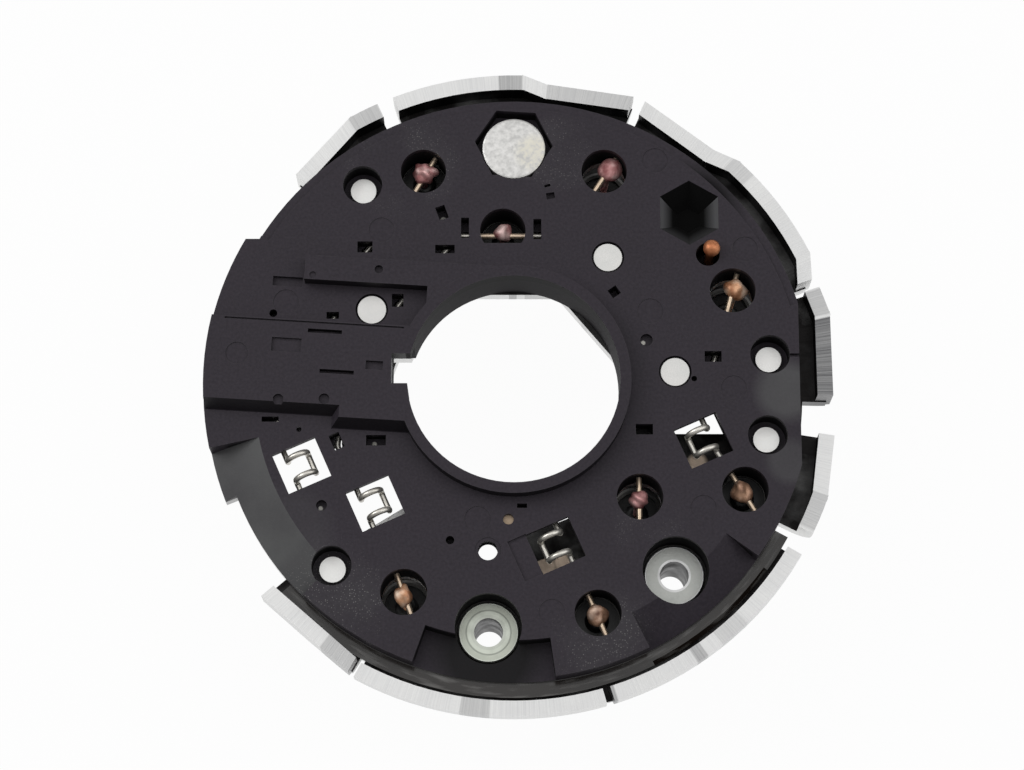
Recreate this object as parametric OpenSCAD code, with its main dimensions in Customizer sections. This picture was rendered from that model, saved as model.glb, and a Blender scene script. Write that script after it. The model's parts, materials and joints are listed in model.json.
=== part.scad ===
// Alternator rectifier: a moulded terminal plate over two aluminium heat sinks,
// with eight press-fit diodes, formed phase wires, a battery stud and two bushes.
// The origin is on the axis of the centre bore, level with the feet of the bushes.

/* [Stack] */
// Thickness of the flat negative heat sink
neg_t = 4; // [3:0.5:5]
// Air gap between the two heat sinks
sink_gap = 9; // [8:0.5:12]
// Thickness of the folded positive heat sink
sheet_t = 3.5; // [2.5:0.1:4]
// Thickness of the terminal plate
plate_t = 9.5; // [9:0.5:12]
// Height of the collar, the strip and the platform above the plate's face
raised_h = 4; // [2:0.5:6]

/* [Terminal plate] */
// Radius of the round part of the plate
plate_r = 66.3; // [65.6:0.1:67]
// Radius of the wider left part of the plate
left_r = 69; // [67.5:0.5:71]
// Distance of the flat right edge from the axis
right_flat = 63.6; // [63:0.1:65]
// Radius of the centre bore
bore_r = 23.6; // [22.6:0.1:24.4]
// Width of the raised collar round the bore
collar_w = 2.4; // [2:0.1:4]
// Width of the key notch in the bore
key_w = 6.8; // [4:0.1:8]
// Depth of the key notch beyond the bore
key_depth = 3.5; // [2:0.1:5]
// Diameter of the diode windows
window_d = 10.3; // [8:0.1:11.5]
// Width of the stator lead windows
lead_window_w = 10.2; // [9:0.1:11]
// Height of the stator lead windows
lead_window_h = 9.6; // [9:0.1:11]
// Thickness of the face over the hollows under the lead windows
lip_t = 1.5; // [1:0.1:3]
// Radius where the bush pockets and the edge ramp start
pocket_r = 57.8; // [56:0.2:60]
// Depth of the left bush pocket
pocket_depth = 6; // [2:0.5:7]
// Drop of the edge ramp at the rim
ramp_drop = 6.5; // [3:0.5:7]
// Depth of the shallow moulded marks
mark_depth = 0.5; // [0.2:0.1:1]

/* [Heat sinks] */
// Radius of the outer face of the rim tabs
tab_r = 74; // [73.6:0.1:76]
// Height of the rim tabs above the sheet's underside
tab_h = 9; // [7.5:0.5:12]
// Outside radius of the folds
fold_r = 5; // [4.2:0.1:6]
// Radius at which the slots between the tabs end
slot_root_r = 65; // [63:0.5:65]
// Outer radius of the negative heat sink
neg_r = 64; // [63:0.5:66]
// Inner radius of the negative heat sink
neg_bore_r = 29; // [27:0.5:31]

/* [Diodes] */
// Diameter of the diode bodies
diode_d = 12.8; // [11:0.1:13]
// Height of the diode bodies
diode_h = 6.8; // [5:0.1:7.5]
// Diameter of the head leads
lead_d = 1.6; // [1.2:0.1:2]
// Diameter of the weld nuggets
nugget_d = 4.4; // [3:0.1:5]
// Diameter of the holes for head leads in the positive heat sink
lead_hole_d = 10.6; // [8:0.1:11.5]

/* [Phase wires] */
// Diameter of the formed wires
wire_d = 1.3; // [1:0.1:1.5]
// Depth of the wire's centre line below the plate's face
wire_drop = 4.5; // [3.5:0.1:5.5]
// Bend radius of the formed wires
bend_r = 1.5; // [1.2:0.1:1.8]
// Span of the hoops in the lead windows
hoop_span = 4.7; // [4:0.1:5]
// Distance between the two hoops of a window
hoop_pitch = 4.8; // [4.2:0.1:5.2]

/* [Fasteners] */
// Outer diameter of the mounting bushes
bush_d = 13.5; // [11:0.1:14]
// Bore of the mounting bushes
bush_bore_d = 6.4; // [5.3:0.1:8.4]
// Height of the mounting bushes
bush_h = 18; // [16:0.5:20]
// Diameter of the rivet shanks
rivet_d = 4; // [3:0.1:4.4]
// Head diameter of the outer rivets
outer_head_d = 5.8; // [5.2:0.1:7]
// Depth of the outer rivet heads below the plate's face
outer_head_drop = 4.8; // [3:0.1:5.5]
// Head diameter of the inner rivets
inner_head_d = 6.4; // [5.4:0.1:7]
// Thickness of the rivet heads
rivet_head_t = 1.5; // [1:0.1:2]
// Thread diameter of the battery stud
stud_d = 8; // [6:0.5:8]
// Head diameter of the battery stud
stud_head_d = 14.4; // [12:0.1:15]
// Head height of the battery stud
stud_head_h = 4.6; // [3:0.1:5]
// Free length of the battery stud below the negative heat sink
stud_free = 16; // [10:0.5:30]

/* [Clearances] */
// Radial clearance of pressed pieces
press_clear = 0.03; // [0.02:0.01:0.05]
// Radial clearance of pieces that are only put in
loose_clear = 0.1; // [0.05:0.01:0.15]
// Radial clearance of the formed wires in their grooves
groove_clear = 0.2; // [0.15:0.05:0.3]
// Clearance between the plate and the rim tabs
rim_clear = 0.3; // [0.2:0.05:0.5]

/* [Hidden] */
$fn = 64;

// Heights of the seats
z_tray = neg_t + sink_gap;
z_plate = z_tray + sheet_t;
z_face = z_plate + plate_t;
z_top = z_face + raised_h;
z_wire = z_face - wire_drop;
cut = 1;

// Layout as radius and angle, counted from the right
bush_ring = 55.1;
bush_a = [264.2, 310.1];
outer_rivet_ring = 57.5;
outer_rivet_a = [126.5, 6.5, 348, 226];
inner_rivet_ring = 36;
inner_rivet_a = [54, 152, 4];
stud_ring = 55;
stud_a = 90;
spare_ring = 56;
spare_a = 45;
sense_ring = 54;
sense_a = 34.7;
sense_window_ring = 52.8;
sense_window_a = 34.3;

// Lead windows: radius, angle and hand of the hoops
lead_windows = [[50.5, 202, 1], [41, 222, 1], [44, 342.5, -1], [38, 284, -1]];
lead_window_turn = 24;
hoop_top = 2.8;
hoop_low = hoop_top - hoop_pitch;
foot_r = 1;
hoop_leg = 0.6;
bend_swell = 0.06;
bend_lap = 0.06;
groove_swell = 1.15;
window_bite = 3;
lead_relief = 3;
lead_side_relief = 1;

// Diode places: radius, angle and the direction of the wire that crosses the window
positive_diodes = [
    [53.5, 112.5, 60], [35.5, 94, 0],
    [56.5, 334.5, heading(hoop_out(lead_windows[2]), pol(56.5, 334.5))],
    [55, 289.5, heading(hoop_out(lead_windows[3]), pol(55, 289.5))]
];
negative_diodes = [[53.5, 67.5, 57], [53.5, 23.5, 75], [38, 317, 270], [53, 243, 290]];

// Rim of the platform, seen in its own slightly turned frame
platform_turn = -3.5;
platform_north = 10.5;
platform_south = -8.5;
platform_south_inner = -11.2;
platform_split = -38;
platform_slope = 1.8;
platform_inset = 0.3;
strip_north = 25.6;
strip_south = 20;
strip_west = -48.1;
strip_east = -4;
strip_root = [-20.5, 12];
strip_h = raised_h - 0.1;
left_a = [145, 202];
left_north = 33.4;
ramp_a = [192.5, 226];
pocket_half_a = 13.7;
bush_ramp_drop = 8;
rim_step_a = [16, 149];
rim_step_w = 2;
key_y = 2.2;
key_lip = 4.4;
key_relief = 2.5;
flange_a = [222, 331];
flange_gap = 1.05;
flange_r = tab_r - sheet_t - flange_gap;
flange_lift = 0.5;
flange_t = 2.5;

// Seats of the fasteners
outer_seat_gap = 3.1;
inner_seat_gap = 0.9;
bush_hole_gap = 1.2;
outer_seat_d = outer_head_d + outer_seat_gap;
inner_seat_d = inner_head_d + inner_seat_gap;
inner_head_drop = 0.4;
bush_hole_d = bush_d + bush_hole_gap;
bush_chamfer = 0.3;
stud_pocket_gap = 1;
stud_pocket_af = stud_head_d + stud_pocket_gap;
stud_pocket_shift = 1;
stud_seat_gap = 0.4;
stud_head_drop = 0.4;
stud_head_chamfer = 0.4;
stud_neck_step = 1;
stud_neck_d = stud_d + stud_neck_step;
stud_chamfer = 1;
stud_relief_l = 1.5;
stud_relief_depth = 0.6;
spare_pocket_af = 13.2;
spare_floor_af = 5;
spare_pocket_depth = 6;
sense_window_d = 5.4;
sense_pin_d = 2.2;
sense_ball_d = 3.8;
sense_rise = 1.5;
tail_t = 1.5;
tail_step = 2;
tail_d = rivet_d + tail_step;

// Details of the diode cases
case_foot = 0.6;
case_lip = 0.7;
case_wall = 1.5;
case_fill = 0.8;
case_drop = 0.2;
positive_z = z_plate - case_drop - diode_h;

// Insulators between the heat sinks
spacer_wall = 2.7;
spacer_neck_wall = 1.5;
bush_spacer_wall = 2;
bush_neck_wall = 1.3;
stud_sleeve_wall = 2.4;
stud_flange_w = 1.6;
stud_flange_t = 1.5;

// Floor of the rim tabs, which ends inside their walls and laps the disc
rim_inset = 1;
rim_lap = 2;
rim_floor_w = tab_r - rim_inset - slot_root_r + rim_lap;
tab_lap = 0.4;
floor_lap = 0.7;
fold_ease = 0.05;
// Round lengths of the rim, clockwise: inset, start angle and end angle
rim_arcs = [
    [0, 120.5, 115], [0, 112, 88.2], [0, 46, 25],
    [0, 340.5, 333.2], [0, 329, 287.3], [0, 285.9, 241.8]
];
// Straight lengths of the rim, clockwise: inset and angle of the start, inset and angle of the end
rim_lines = [
    [3.5, 134.5, 0, 120.5], [0, 88.2, 1.8, 84], [1.8, 84, 0, 68.5],
    [0, 65.7, 1.8, 50.7], [1.8, 50.7, 0, 46], [0, 25, 2, 20.8],
    [1.2, 18.4, 0.8, 13.6], [0.8, 13.6, 2.6, -1.2], [1.7, -9.2, 0, -20],
    [0.5, 240.2, 1.1, 220.8]
];
// Slot that is cut in the wall of the rim alone
wall_slot_a = [290, 283];

// Cut-away left side of the heat sinks
sink_cut_x = -20;
tray_cut_y = [-35.5, 8];
tray_slant = [-39.2, -23.6];
neg_cut_y = [-36, 6];
tray_bore_step = 0.9;
chord_north_step = 0.6;
chord_east_step = 1.2;
tray_bore_r = bore_r + tray_bore_step;
tray_chord_north = bore_r - chord_north_step;
tray_chord_east = bore_r - chord_east_step;
tray_chord_east_a = 40;
// Vent through both heat sinks, and the slit below the small round hole
vent = [[36.8, -6.5], [36.8, -4.6], [44, -0.3], [49.5, -0.3], [49.5, -6.5]];
lead_gap_side = [1, 2.5];
slit_w = 5;
slit_y = [-41, -30];
slit_x = -5.7;
slit_hole_y = -38;
slit_hole_d = 4.3;
slit_lip = 4.4;
slit_relief = 2;

plastic = [0.23, 0.22, 0.24];
aluminium = [0.80, 0.80, 0.80];
tinned = [0.78, 0.74, 0.64];
copper = [0.72, 0.42, 0.32];
zinc = [0.72, 0.72, 0.70];
nickel = [0.55, 0.54, 0.52];
nylon = [0.30, 0.29, 0.28];

// A point at a radius and an angle
function pol(r, a) = [r * cos(a), r * sin(a)];
// A point of a lead window, along its width u and its height v
function lead_point(w, u, v) =
    pol(w[0], w[1]) + [
        u * cos(lead_window_turn) - v * sin(lead_window_turn),
        u * sin(lead_window_turn) + v * cos(lead_window_turn)
    ];
// Where the wire leaves the feet of the hoops, and where it is in the wall beside the window
function hoop_in(w) = lead_point(w, -w[2] * hoop_span / 2, hoop_top + foot_r);
function hoop_out(w) = lead_point(w, -w[2] * hoop_span / 2, hoop_low - foot_r);
function lead_in(w, more) =
    lead_point(w, -w[2] * hoop_span / 2, lead_window_h / 2 + more);
function lead_out(w, more) =
    lead_point(w, -w[2] * hoop_span / 2, -lead_window_h / 2 - more);
// A point on the wire through a diode window, s along the wire from the middle
function along(d, s) = pol(d[0], d[1]) + s * [cos(d[2]), sin(d[2])];

// Turn between two steps of a route, positive to the left
function heading(p, q) = atan2(q[1] - p[1], q[0] - p[0]);
function wrap(a) = a > 180 ? a - 360 : a < -180 ? a + 360 : a;
function turn_at(route, i) =
    wrap(heading(route[i], route[i + 1]) - heading(route[i - 1], route[i]));
// Length that a bend takes from each of its two legs
function bend_leg(route, i) =
    i == 0 || i == len(route) - 1 ? 0 : bend_r * tan(abs(turn_at(route, i)) / 2);

// Routes of the wires from the lead windows to the diode windows
route_u_north = [
    hoop_in(lead_windows[0]), lead_in(lead_windows[0], 5), [-51, 6], [-40.5, 16],
    [-33.5, 31.5], along(positive_diodes[0], -9), along(positive_diodes[0], 7)
];
route_u_south = [
    hoop_out(lead_windows[0]), lead_out(lead_windows[0], 5), [-30, -40],
    along(negative_diodes[3], -6), along(negative_diodes[3], 7)
];
route_v_north = [
    hoop_in(lead_windows[1]), lead_in(lead_windows[1], 11.5), [-37, 4], [-28, 12],
    [-26, 19], along(positive_diodes[1], -10), along(positive_diodes[1], 9),
    along(negative_diodes[0], -8), along(negative_diodes[0], 7)
];
route_v_south = [hoop_out(lead_windows[1]), lead_out(lead_windows[1], 4)];
route_w_north = [
    hoop_in(lead_windows[2]), lead_in(lead_windows[2], 4.6),
    along(negative_diodes[1], -16), along(negative_diodes[1], 7)
];
route_w_south = [hoop_out(lead_windows[2]), along(positive_diodes[2], 7)];
route_n_north = [
    hoop_in(lead_windows[3]), lead_in(lead_windows[3], 3.5), [19.5, -19.5],
    along(negative_diodes[2], -15.5), along(negative_diodes[2], 7)
];
route_n_south = [hoop_out(lead_windows[3]), along(positive_diodes[3], 7)];

// Small core-pin slots in the plate's face: place, size and turn
slots = [
    [-33.5, 31.5, 3.4, 2.6, 0], [-15.5, 31, 4.4, 2, 0], [-16.2, 39.6, 2.2, 3.2, 20],
    [-11, 36, 1.8, 4.8, 0], [5.3, 35.7, 1.8, 4.8, 0], [22.5, 21, 2.2, 2.2, 35],
    [44.4, 6, 3.8, 2.5, 0], [28.9, -10.7, 3.8, 2.4, 0], [-30.5, -13.2, 4.4, 2.4, 0],
    [-39.2, -13.4, 2.4, 3.6, 24], [-40.5, 15.5, 2.8, 1.6, 0], [-26, 19, 2.6, 3, 0],
    [-54, -8.4, 3.8, 1.2, 0], [1.8, -28, 2.2, 1, 0]
];
slot_depth = wire_drop - wire_d / 4;
// Small round holes in the plate: place, diameter and depth
pin_holes = [
    [-53.8, 16, 1.8, 4], [-14, -35.7, 1.9, 4], [slit_x, slit_hole_y, slit_hole_d, plate_t],
    [-1.2, -31, 2.4, 1.2], [-42.3, -27.9, 2.4, 2], [40.1, 0.9, 1.3, 3],
    [29.6, 9.8, 2.8, 1.5], [-47.6, -10.7, 1.2, 2]
];
// Shallow recesses in the plate's face: place, size, turn and depth
face_marks = [
    [-50.7, 23.4, 6.7, 2.2, platform_turn, 1.2], [62.6, 6.3, 2.8, 0.8, 0, 1.5],
    [7.6, 46, 1.4, 0.6, 15, 1.5], [8.3, 43.6, 1.9, 1.5, 10, 1.5],
    [2.5, -39.6, 4.4, 9.6, lead_window_turn, 0.6]
];
// Shallow marks of the ejector pins: place
ejector_marks = [
    [8.3, -51.7], [48.9, -1.3], [-51, 18.6], [52, 31], [-8, -31],
    [41.7, -28.5], [32, 52], [30.5, 16.5], [-29.8, 35.5], [slit_x, slit_hole_y]
];
ejector_d = 5.8;
// Recesses in the top of the platform, in its turned frame: place, size and depth
platform_marks = [
    [-50.8, 4.5, 6.6, 3.2, 0.7], [-42.5, 8.1, 7.6, 0.9, 2], [-39.2, -1, 7.6, 0.9, 2],
    [-31, 1, 3.8, 2, 1], [-45, 10, 40, 0.4, 0.6]
];
// Pin marks on the platform and the strip, in the same frame: place, diameter and depth
platform_pins = [
    [-51.6, -8, 2.4, 1], [-41.5, -7.3, 2.4, 1], [-61.6, 2, 5, 0.2],
    [-31.6, 23.2, 1.9, 1.2], [-46.2, 21, 1.6, 0.5]
];

// A flat wedge from the axis outwards between two angles
module wedge(r, a0, a1) {
    middle = (a0 + a1) / 2;
    reach = r / cos((a1 - a0) / 4);
    polygon([[0, 0], pol(reach, a0), pol(reach, middle), pol(reach, a1)]);
}

// A ring with a rectangular section between two angles
module ring_piece(r0, r1, z0, z1, a0, a1) {
    rotate(a0)
        rotate_extrude(angle = a1 - a0)
            translate([r0, z0])
                square([r1 - r0, z1 - z0]);
}

// A tube that stands on a height
module tube(d, bore, z0, z1) {
    translate([0, 0, z0])
        difference() {
            cylinder(d = d, h = z1 - z0);
            translate([0, 0, -cut])
                cylinder(d = bore, h = z1 - z0 + 2 * cut);
        }
}

// Children at a radius and an angle
module at(r, a) {
    translate(pol(r, a))
        children();
}

// A hole from one height up to another
module hole(d, z0, z1) {
    translate([0, 0, z0])
        cylinder(d = d, h = z1 - z0);
}

// A six-sided pocket with flats af apart
module hex_hole(af, z0, z1, turn) {
    translate([0, 0, z0])
        rotate(turn)
            cylinder(d = af / cos(30), h = z1 - z0, $fn = 6);
}

// A round wire that follows a route at the wire's height, a trace thicker in its bends
module wire_route(route) {
    last = len(route) - 1;
    for (i = [0 : last - 1]) {
        start = bend_leg(route, i) - bend_lap;
        end = bend_leg(route, i + 1) - (i + 1 < last ? bend_lap : 0);
        translate([route[i][0], route[i][1], z_wire])
            rotate([0, 0, heading(route[i], route[i + 1])])
                translate([start, 0, 0])
                    rotate([0, 90, 0])
                        cylinder(d = wire_d, h = norm(route[i + 1] - route[i]) - start - end);
    }
    for (i = [1 : 1 : last - 1]) {
        turn = turn_at(route, i);
        side = turn > 0 ? 1 : -1;
        translate([route[i][0], route[i][1], z_wire])
            rotate([0, 0, heading(route[i - 1], route[i])])
                translate([-bend_leg(route, i), side * bend_r, 0])
                    rotate([0, 0, turn > 0 ? -90 : 90 + turn])
                        rotate_extrude(angle = abs(turn))
                            translate([bend_r, 0])
                                circle(d = wire_d + bend_swell);
    }
}

// The groove that takes a wire route, open at the plate's underside and wider at the bends
module wire_groove(route) {
    last = len(route) - 1;
    width = wire_d + 2 * groove_clear;
    depth = z_wire + width / 2 - z_plate;
    for (i = [0 : last - 1]) {
        length = norm(route[i + 1] - route[i]) + (i + 1 == last ? width / 2 : 0);
        translate([route[i][0], route[i][1], z_plate - cut])
            rotate([0, 0, heading(route[i], route[i + 1])])
                translate([0, -width / 2, 0])
                    cube([length, width, depth + cut]);
    }
    for (i = [1 : 1 : last - 1]) {
        corner = bend_r * (1 / cos(turn_at(route, i) / 2) - 1);
        translate([route[i][0], route[i][1], z_plate - cut])
            cylinder(d = groove_swell * width + 2 * corner, h = depth + cut);
    }
}

// Two upright hoops in a lead window, joined by a straight run on one side
module lead_hoops(w) {
    far = w[2] * hoop_span / 2;
    feet = [[far, hoop_top, -1], [far, hoop_low, 1], [-far, hoop_top, 1], [-far, hoop_low, -1]];
    translate([pol(w[0], w[1])[0], pol(w[0], w[1])[1], z_wire])
        rotate(lead_window_turn) {
            for (v = [hoop_top, hoop_low])
                translate([0, v, foot_r + hoop_leg])
                    rotate([90, 0, 0])
                        rotate_extrude(angle = 180)
                            translate([hoop_span / 2, 0])
                                circle(d = wire_d + bend_swell);
            for (foot = feet) {
                translate([foot[0], foot[1], foot_r - bend_lap])
                    cylinder(d = wire_d, h = hoop_leg + 2 * bend_lap);
                translate([foot[0], foot[1] + foot[2] * foot_r, foot_r])
                    rotate([0, 90, 0])
                        rotate([0, 0, foot[2] > 0 ? -90 : 0])
                            rotate_extrude(angle = 90)
                                translate([foot_r, 0])
                                    circle(d = wire_d + bend_swell);
            }
            translate([far, hoop_low + foot_r - bend_lap, 0])
                rotate([-90, 0, 0])
                    cylinder(d = wire_d, h = hoop_pitch - 2 * foot_r + 2 * bend_lap);
        }
}

// The moulded disc with its wider left side
module plate_outline() {
    difference() {
        union() {
            circle(r = plate_r);
            intersection() {
                circle(r = left_r);
                wedge(left_r, left_a[0], left_a[1]);
                translate([-2 * left_r, left_north - 2 * left_r])
                    square(2 * left_r);
            }
        }
        translate([right_flat, -plate_r])
            square([plate_r, 2 * plate_r]);
    }
}

// One length of the raised platform: a bar with a sloped south face
module platform_bar(west, east, south) {
    rotate(platform_turn)
        translate([west, 0, z_face - cut])
            rotate([90, 0, 90])
                linear_extrude(east - west)
                    polygon([
                        [south - platform_slope * (1 + cut / raised_h), 0],
                        [south, raised_h + cut], [platform_north, raised_h + cut],
                        [platform_north, 0]
                    ]);
}

// The sloped west end of the platform's inner length
module platform_end() {
    rotate(platform_turn)
        translate([0, platform_north + cut, z_face - cut])
            rotate([90, 0, 0])
                linear_extrude(platform_north - platform_south_inner + 2 * platform_slope + 2 * cut)
                    polygon([
                        [platform_split - platform_slope * (1 + cut / raised_h), 0],
                        [platform_split, raised_h + cut], [sink_cut_x + cut, raised_h + cut],
                        [sink_cut_x + cut, 0]
                    ]);
}

// The collar, the strip and the platform that stand on the plate's face
module plate_raised() {
    ring_piece(bore_r - cut, bore_r + collar_w, z_face - cut, z_top, 0, 360);
    intersection() {
        translate([0, 0, z_plate])
            cylinder(r = left_r - platform_inset, h = z_top - z_plate);
        union() {
            platform_bar(-left_r - cut, platform_split + cut, platform_south);
            intersection() {
                platform_bar(platform_split - 2 * platform_slope, sink_cut_x, platform_south_inner);
                platform_end();
            }
        }
    }
    rotate(platform_turn)
        translate([0, 0, z_face - cut]) {
            translate([strip_west, strip_south, 0])
                cube([strip_east - strip_west, strip_north - strip_south, strip_h + cut]);
            translate(strip_root)
                cube([strip_east - strip_root[0], strip_north - strip_root[1], strip_h + cut]);
        }
}

// A ramp that falls from the plate's face to its edge
module edge_ramp(drop, a0, a1) {
    rotate(a0)
        rotate_extrude(angle = a1 - a0)
            polygon([
                [pocket_r, z_face], [pocket_r, z_face + cut / 2],
                [left_r + cut, z_face + cut / 2], [left_r + cut, z_face - drop]
            ]);
}

// Openings for the diode welds, the second inner one with a flat lower side, and for the
// stator leads, each with a hollow under its thin edge
module plate_windows() {
    for (d = concat(positive_diodes, negative_diodes))
        at(d[0], d[1])
            difference() {
                hole(window_d, z_plate - cut, z_top + cut);
                if (d[2] == 0)
                    translate([-window_d, -window_d - window_bite, z_plate - 2 * cut])
                        cube([2 * window_d, window_d, plate_t + raised_h + 4 * cut]);
            }
    for (w = lead_windows)
        at(w[0], w[1])
            rotate(lead_window_turn)
                translate([-lead_window_w / 2, -lead_window_h / 2, z_plate - cut]) {
                    cube([lead_window_w, lead_window_h, plate_t + raised_h + 2 * cut]);
                    translate([-lead_side_relief, 0, 0])
                        cube([lead_window_w + 2 * lead_side_relief, lead_window_h + lead_relief,
                            plate_t - lip_t + cut]);
                }
    translate([slit_x, slit_hole_y])
        hole(slit_hole_d + 2 * slit_relief, z_plate - cut, z_face - slit_lip);
}

// Seats for the rivets, the bushes and the stud
module plate_seats() {
    for (a = outer_rivet_a)
        at(outer_rivet_ring, a) {
            hole(rivet_d + 2 * loose_clear, z_plate - cut, z_face);
            hole(outer_seat_d, z_face - outer_head_drop - rivet_head_t, z_top + cut);
        }
    for (a = inner_rivet_a)
        at(inner_rivet_ring, a) {
            hole(rivet_d + 2 * loose_clear, z_plate - cut, z_face);
            hole(inner_seat_d, z_face - inner_head_drop - rivet_head_t, z_top + cut);
        }
    for (a = bush_a)
        at(bush_ring, a)
            hole(bush_hole_d, z_plate - cut, z_top + cut);
    ring_piece(pocket_r, plate_r + 3 * cut, z_face - pocket_depth, z_top + cut,
        bush_a[0] - pocket_half_a, bush_a[0] + pocket_half_a);
    edge_ramp(bush_ramp_drop, bush_a[1] - pocket_half_a, bush_a[1] + pocket_half_a);
    at(stud_ring, stud_a) {
        hole(stud_neck_d + 2 * loose_clear, z_plate - cut, z_face);
        hole(stud_head_d + stud_seat_gap, z_face - stud_head_drop - stud_head_h, z_top + cut);
    }
    at(stud_ring + stud_pocket_shift, stud_a)
        hex_hole(stud_pocket_af, z_face - stud_head_drop - stud_head_h, z_top + cut, platform_turn);
    at(spare_ring, spare_a)
        translate([0, 0, z_face - spare_pocket_depth])
            rotate(30)
                cylinder(d1 = spare_floor_af / cos(30), d2 = spare_pocket_af / cos(30),
                    h = spare_pocket_depth, $fn = 6);
    at(sense_window_ring, sense_window_a)
        hole(sense_window_d, z_plate - cut, z_top + cut);
}

// Small slots, pin holes and shallow marks
module plate_marks() {
    for (s = slots)
        translate([s[0], s[1], z_face - slot_depth])
            rotate(s[4])
                translate([-s[2] / 2, -s[3] / 2, 0])
                    cube([s[2], s[3], slot_depth + raised_h + cut]);
    for (p = pin_holes)
        translate([p[0], p[1], z_face - p[3] - (p[3] == plate_t ? cut : 0)])
            cylinder(d = p[2], h = p[3] + raised_h + 2 * cut, $fn = 32);
    for (m = face_marks)
        translate([m[0], m[1], z_face - m[5]])
            rotate(m[4])
                translate([-m[2] / 2, -m[3] / 2, 0])
                    cube([m[2], m[3], m[5] + cut / 2]);
    for (p = ejector_marks)
        translate([p[0], p[1], z_face - mark_depth / 3])
            cylinder(d = ejector_d, h = mark_depth);
    rotate(platform_turn) {
        for (m = platform_marks)
            translate([m[0] - m[2] / 2, m[1] - m[3] / 2, z_top - m[4]])
                cube([m[2], m[3], m[4] + cut]);
        for (p = platform_pins)
            translate([p[0], p[1], z_top - p[3]])
                cylinder(d = p[2], h = p[3] + cut);
    }
}

module terminal_plate() {
    color(plastic)
        difference() {
            union() {
                translate([0, 0, z_plate])
                    linear_extrude(plate_t)
                        plate_outline();
                ring_piece(pocket_r, flange_r, z_plate + flange_lift, z_plate + flange_t,
                    flange_a[0], flange_a[1]);
                plate_raised();
            }
            hole(2 * bore_r, z_plate - cut, z_top + cut);
            translate([-bore_r - key_depth, key_y - key_w / 2, z_plate - cut]) {
                cube([2 * key_depth, key_w, plate_t + raised_h + 2 * cut]);
                cube([2 * key_depth, key_w + key_relief, z_top - key_lip - z_plate + cut]);
            }
            edge_ramp(ramp_drop, ramp_a[0], ramp_a[1]);
            translate([0, 0, z_plate - cut])
                linear_extrude(z_tray + tab_h + rim_clear - z_plate + cut)
                    rim_plan(-rim_clear, sheet_t + 2 * rim_clear, tab_lap + rim_clear);
            ring_piece(plate_r - rim_step_w, plate_r + cut, z_face - mark_depth, z_face + cut / 2,
                rim_step_a[0], rim_step_a[1]);
            plate_windows();
            plate_seats();
            plate_marks();
            for (r = [route_u_north, route_u_south, route_v_north, route_v_south,
                      route_w_north, route_w_south, route_n_north, route_n_south])
                wire_groove(r);
        }
}

// Plan of a round length of the rim from angle a0 down to angle a1
module arc_band(r, a0, a1, width) {
    intersection() {
        difference() {
            circle(r = r);
            circle(r = r - width);
        }
        wedge(2 * tab_r, a1, a0);
    }
}

// Plan of a straight length of the rim between two places, with a little lap at its ends
module line_band(r0, a0, r1, a1, width, lap) {
    along_it = pol(r1, a1) - pol(r0, a0);
    more = lap * along_it / norm(along_it);
    polygon([
        pol(r0, a0) - more, pol(r1, a1) + more,
        pol(r1 - width, a1) + more, pol(r0 - width, a0) - more
    ]);
}

// Plan of the eight rim tabs, each joggle a short slanted length
module rim_plan(inset, width, lap) {
    r = tab_r - inset;
    for (b = rim_arcs)
        arc_band(r - b[0], b[1], b[2], width);
    for (b = rim_lines)
        line_band(r - b[0], b[1], r - b[2], b[3], width, lap);
}

// What the fold takes off the lower outer edge of the rim
module fold_waste() {
    rotate_extrude($fn = 128)
        difference() {
            translate([tab_r - fold_r, z_tray - cut])
                square([fold_r + cut, fold_r + cut]);
            translate([tab_r - fold_r - fold_ease, z_tray + fold_r + fold_ease])
                circle(r = fold_r);
        }
}

// Opening of the positive heat sink, round with two straight chords
module tray_opening() {
    intersection() {
        circle(r = tray_bore_r);
        translate([-2 * bore_r, -2 * bore_r])
            square([4 * bore_r, 2 * bore_r + tray_chord_north]);
        rotate(tray_chord_east_a)
            translate([-2 * bore_r, -2 * bore_r])
                square([2 * bore_r + tray_chord_east, 4 * bore_r]);
    }
}

// Holes that both heat sinks share
module sink_vents(z0, z1) {
    translate([0, 0, z0])
        linear_extrude(z1 - z0)
            polygon(vent);
    translate([slit_x - slit_w / 2, slit_y[0], z0])
        cube([slit_w, slit_y[1] - slit_y[0], z1 - z0]);
}

// Openings of the positive heat sink under the two right lead windows
module lead_gaps(z0, z1) {
    west = lead_window_w / 2 + lead_gap_side[0];
    east = lead_window_w / 2 + lead_gap_side[1];
    for (i = [2, 3])
        at(lead_windows[i][0], lead_windows[i][1])
            rotate(lead_window_turn)
                translate([-west, 0, z0])
                    cube([west + east, lead_window_h / 2 + lead_gap_side[1], z1 - z0]);
}

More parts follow.
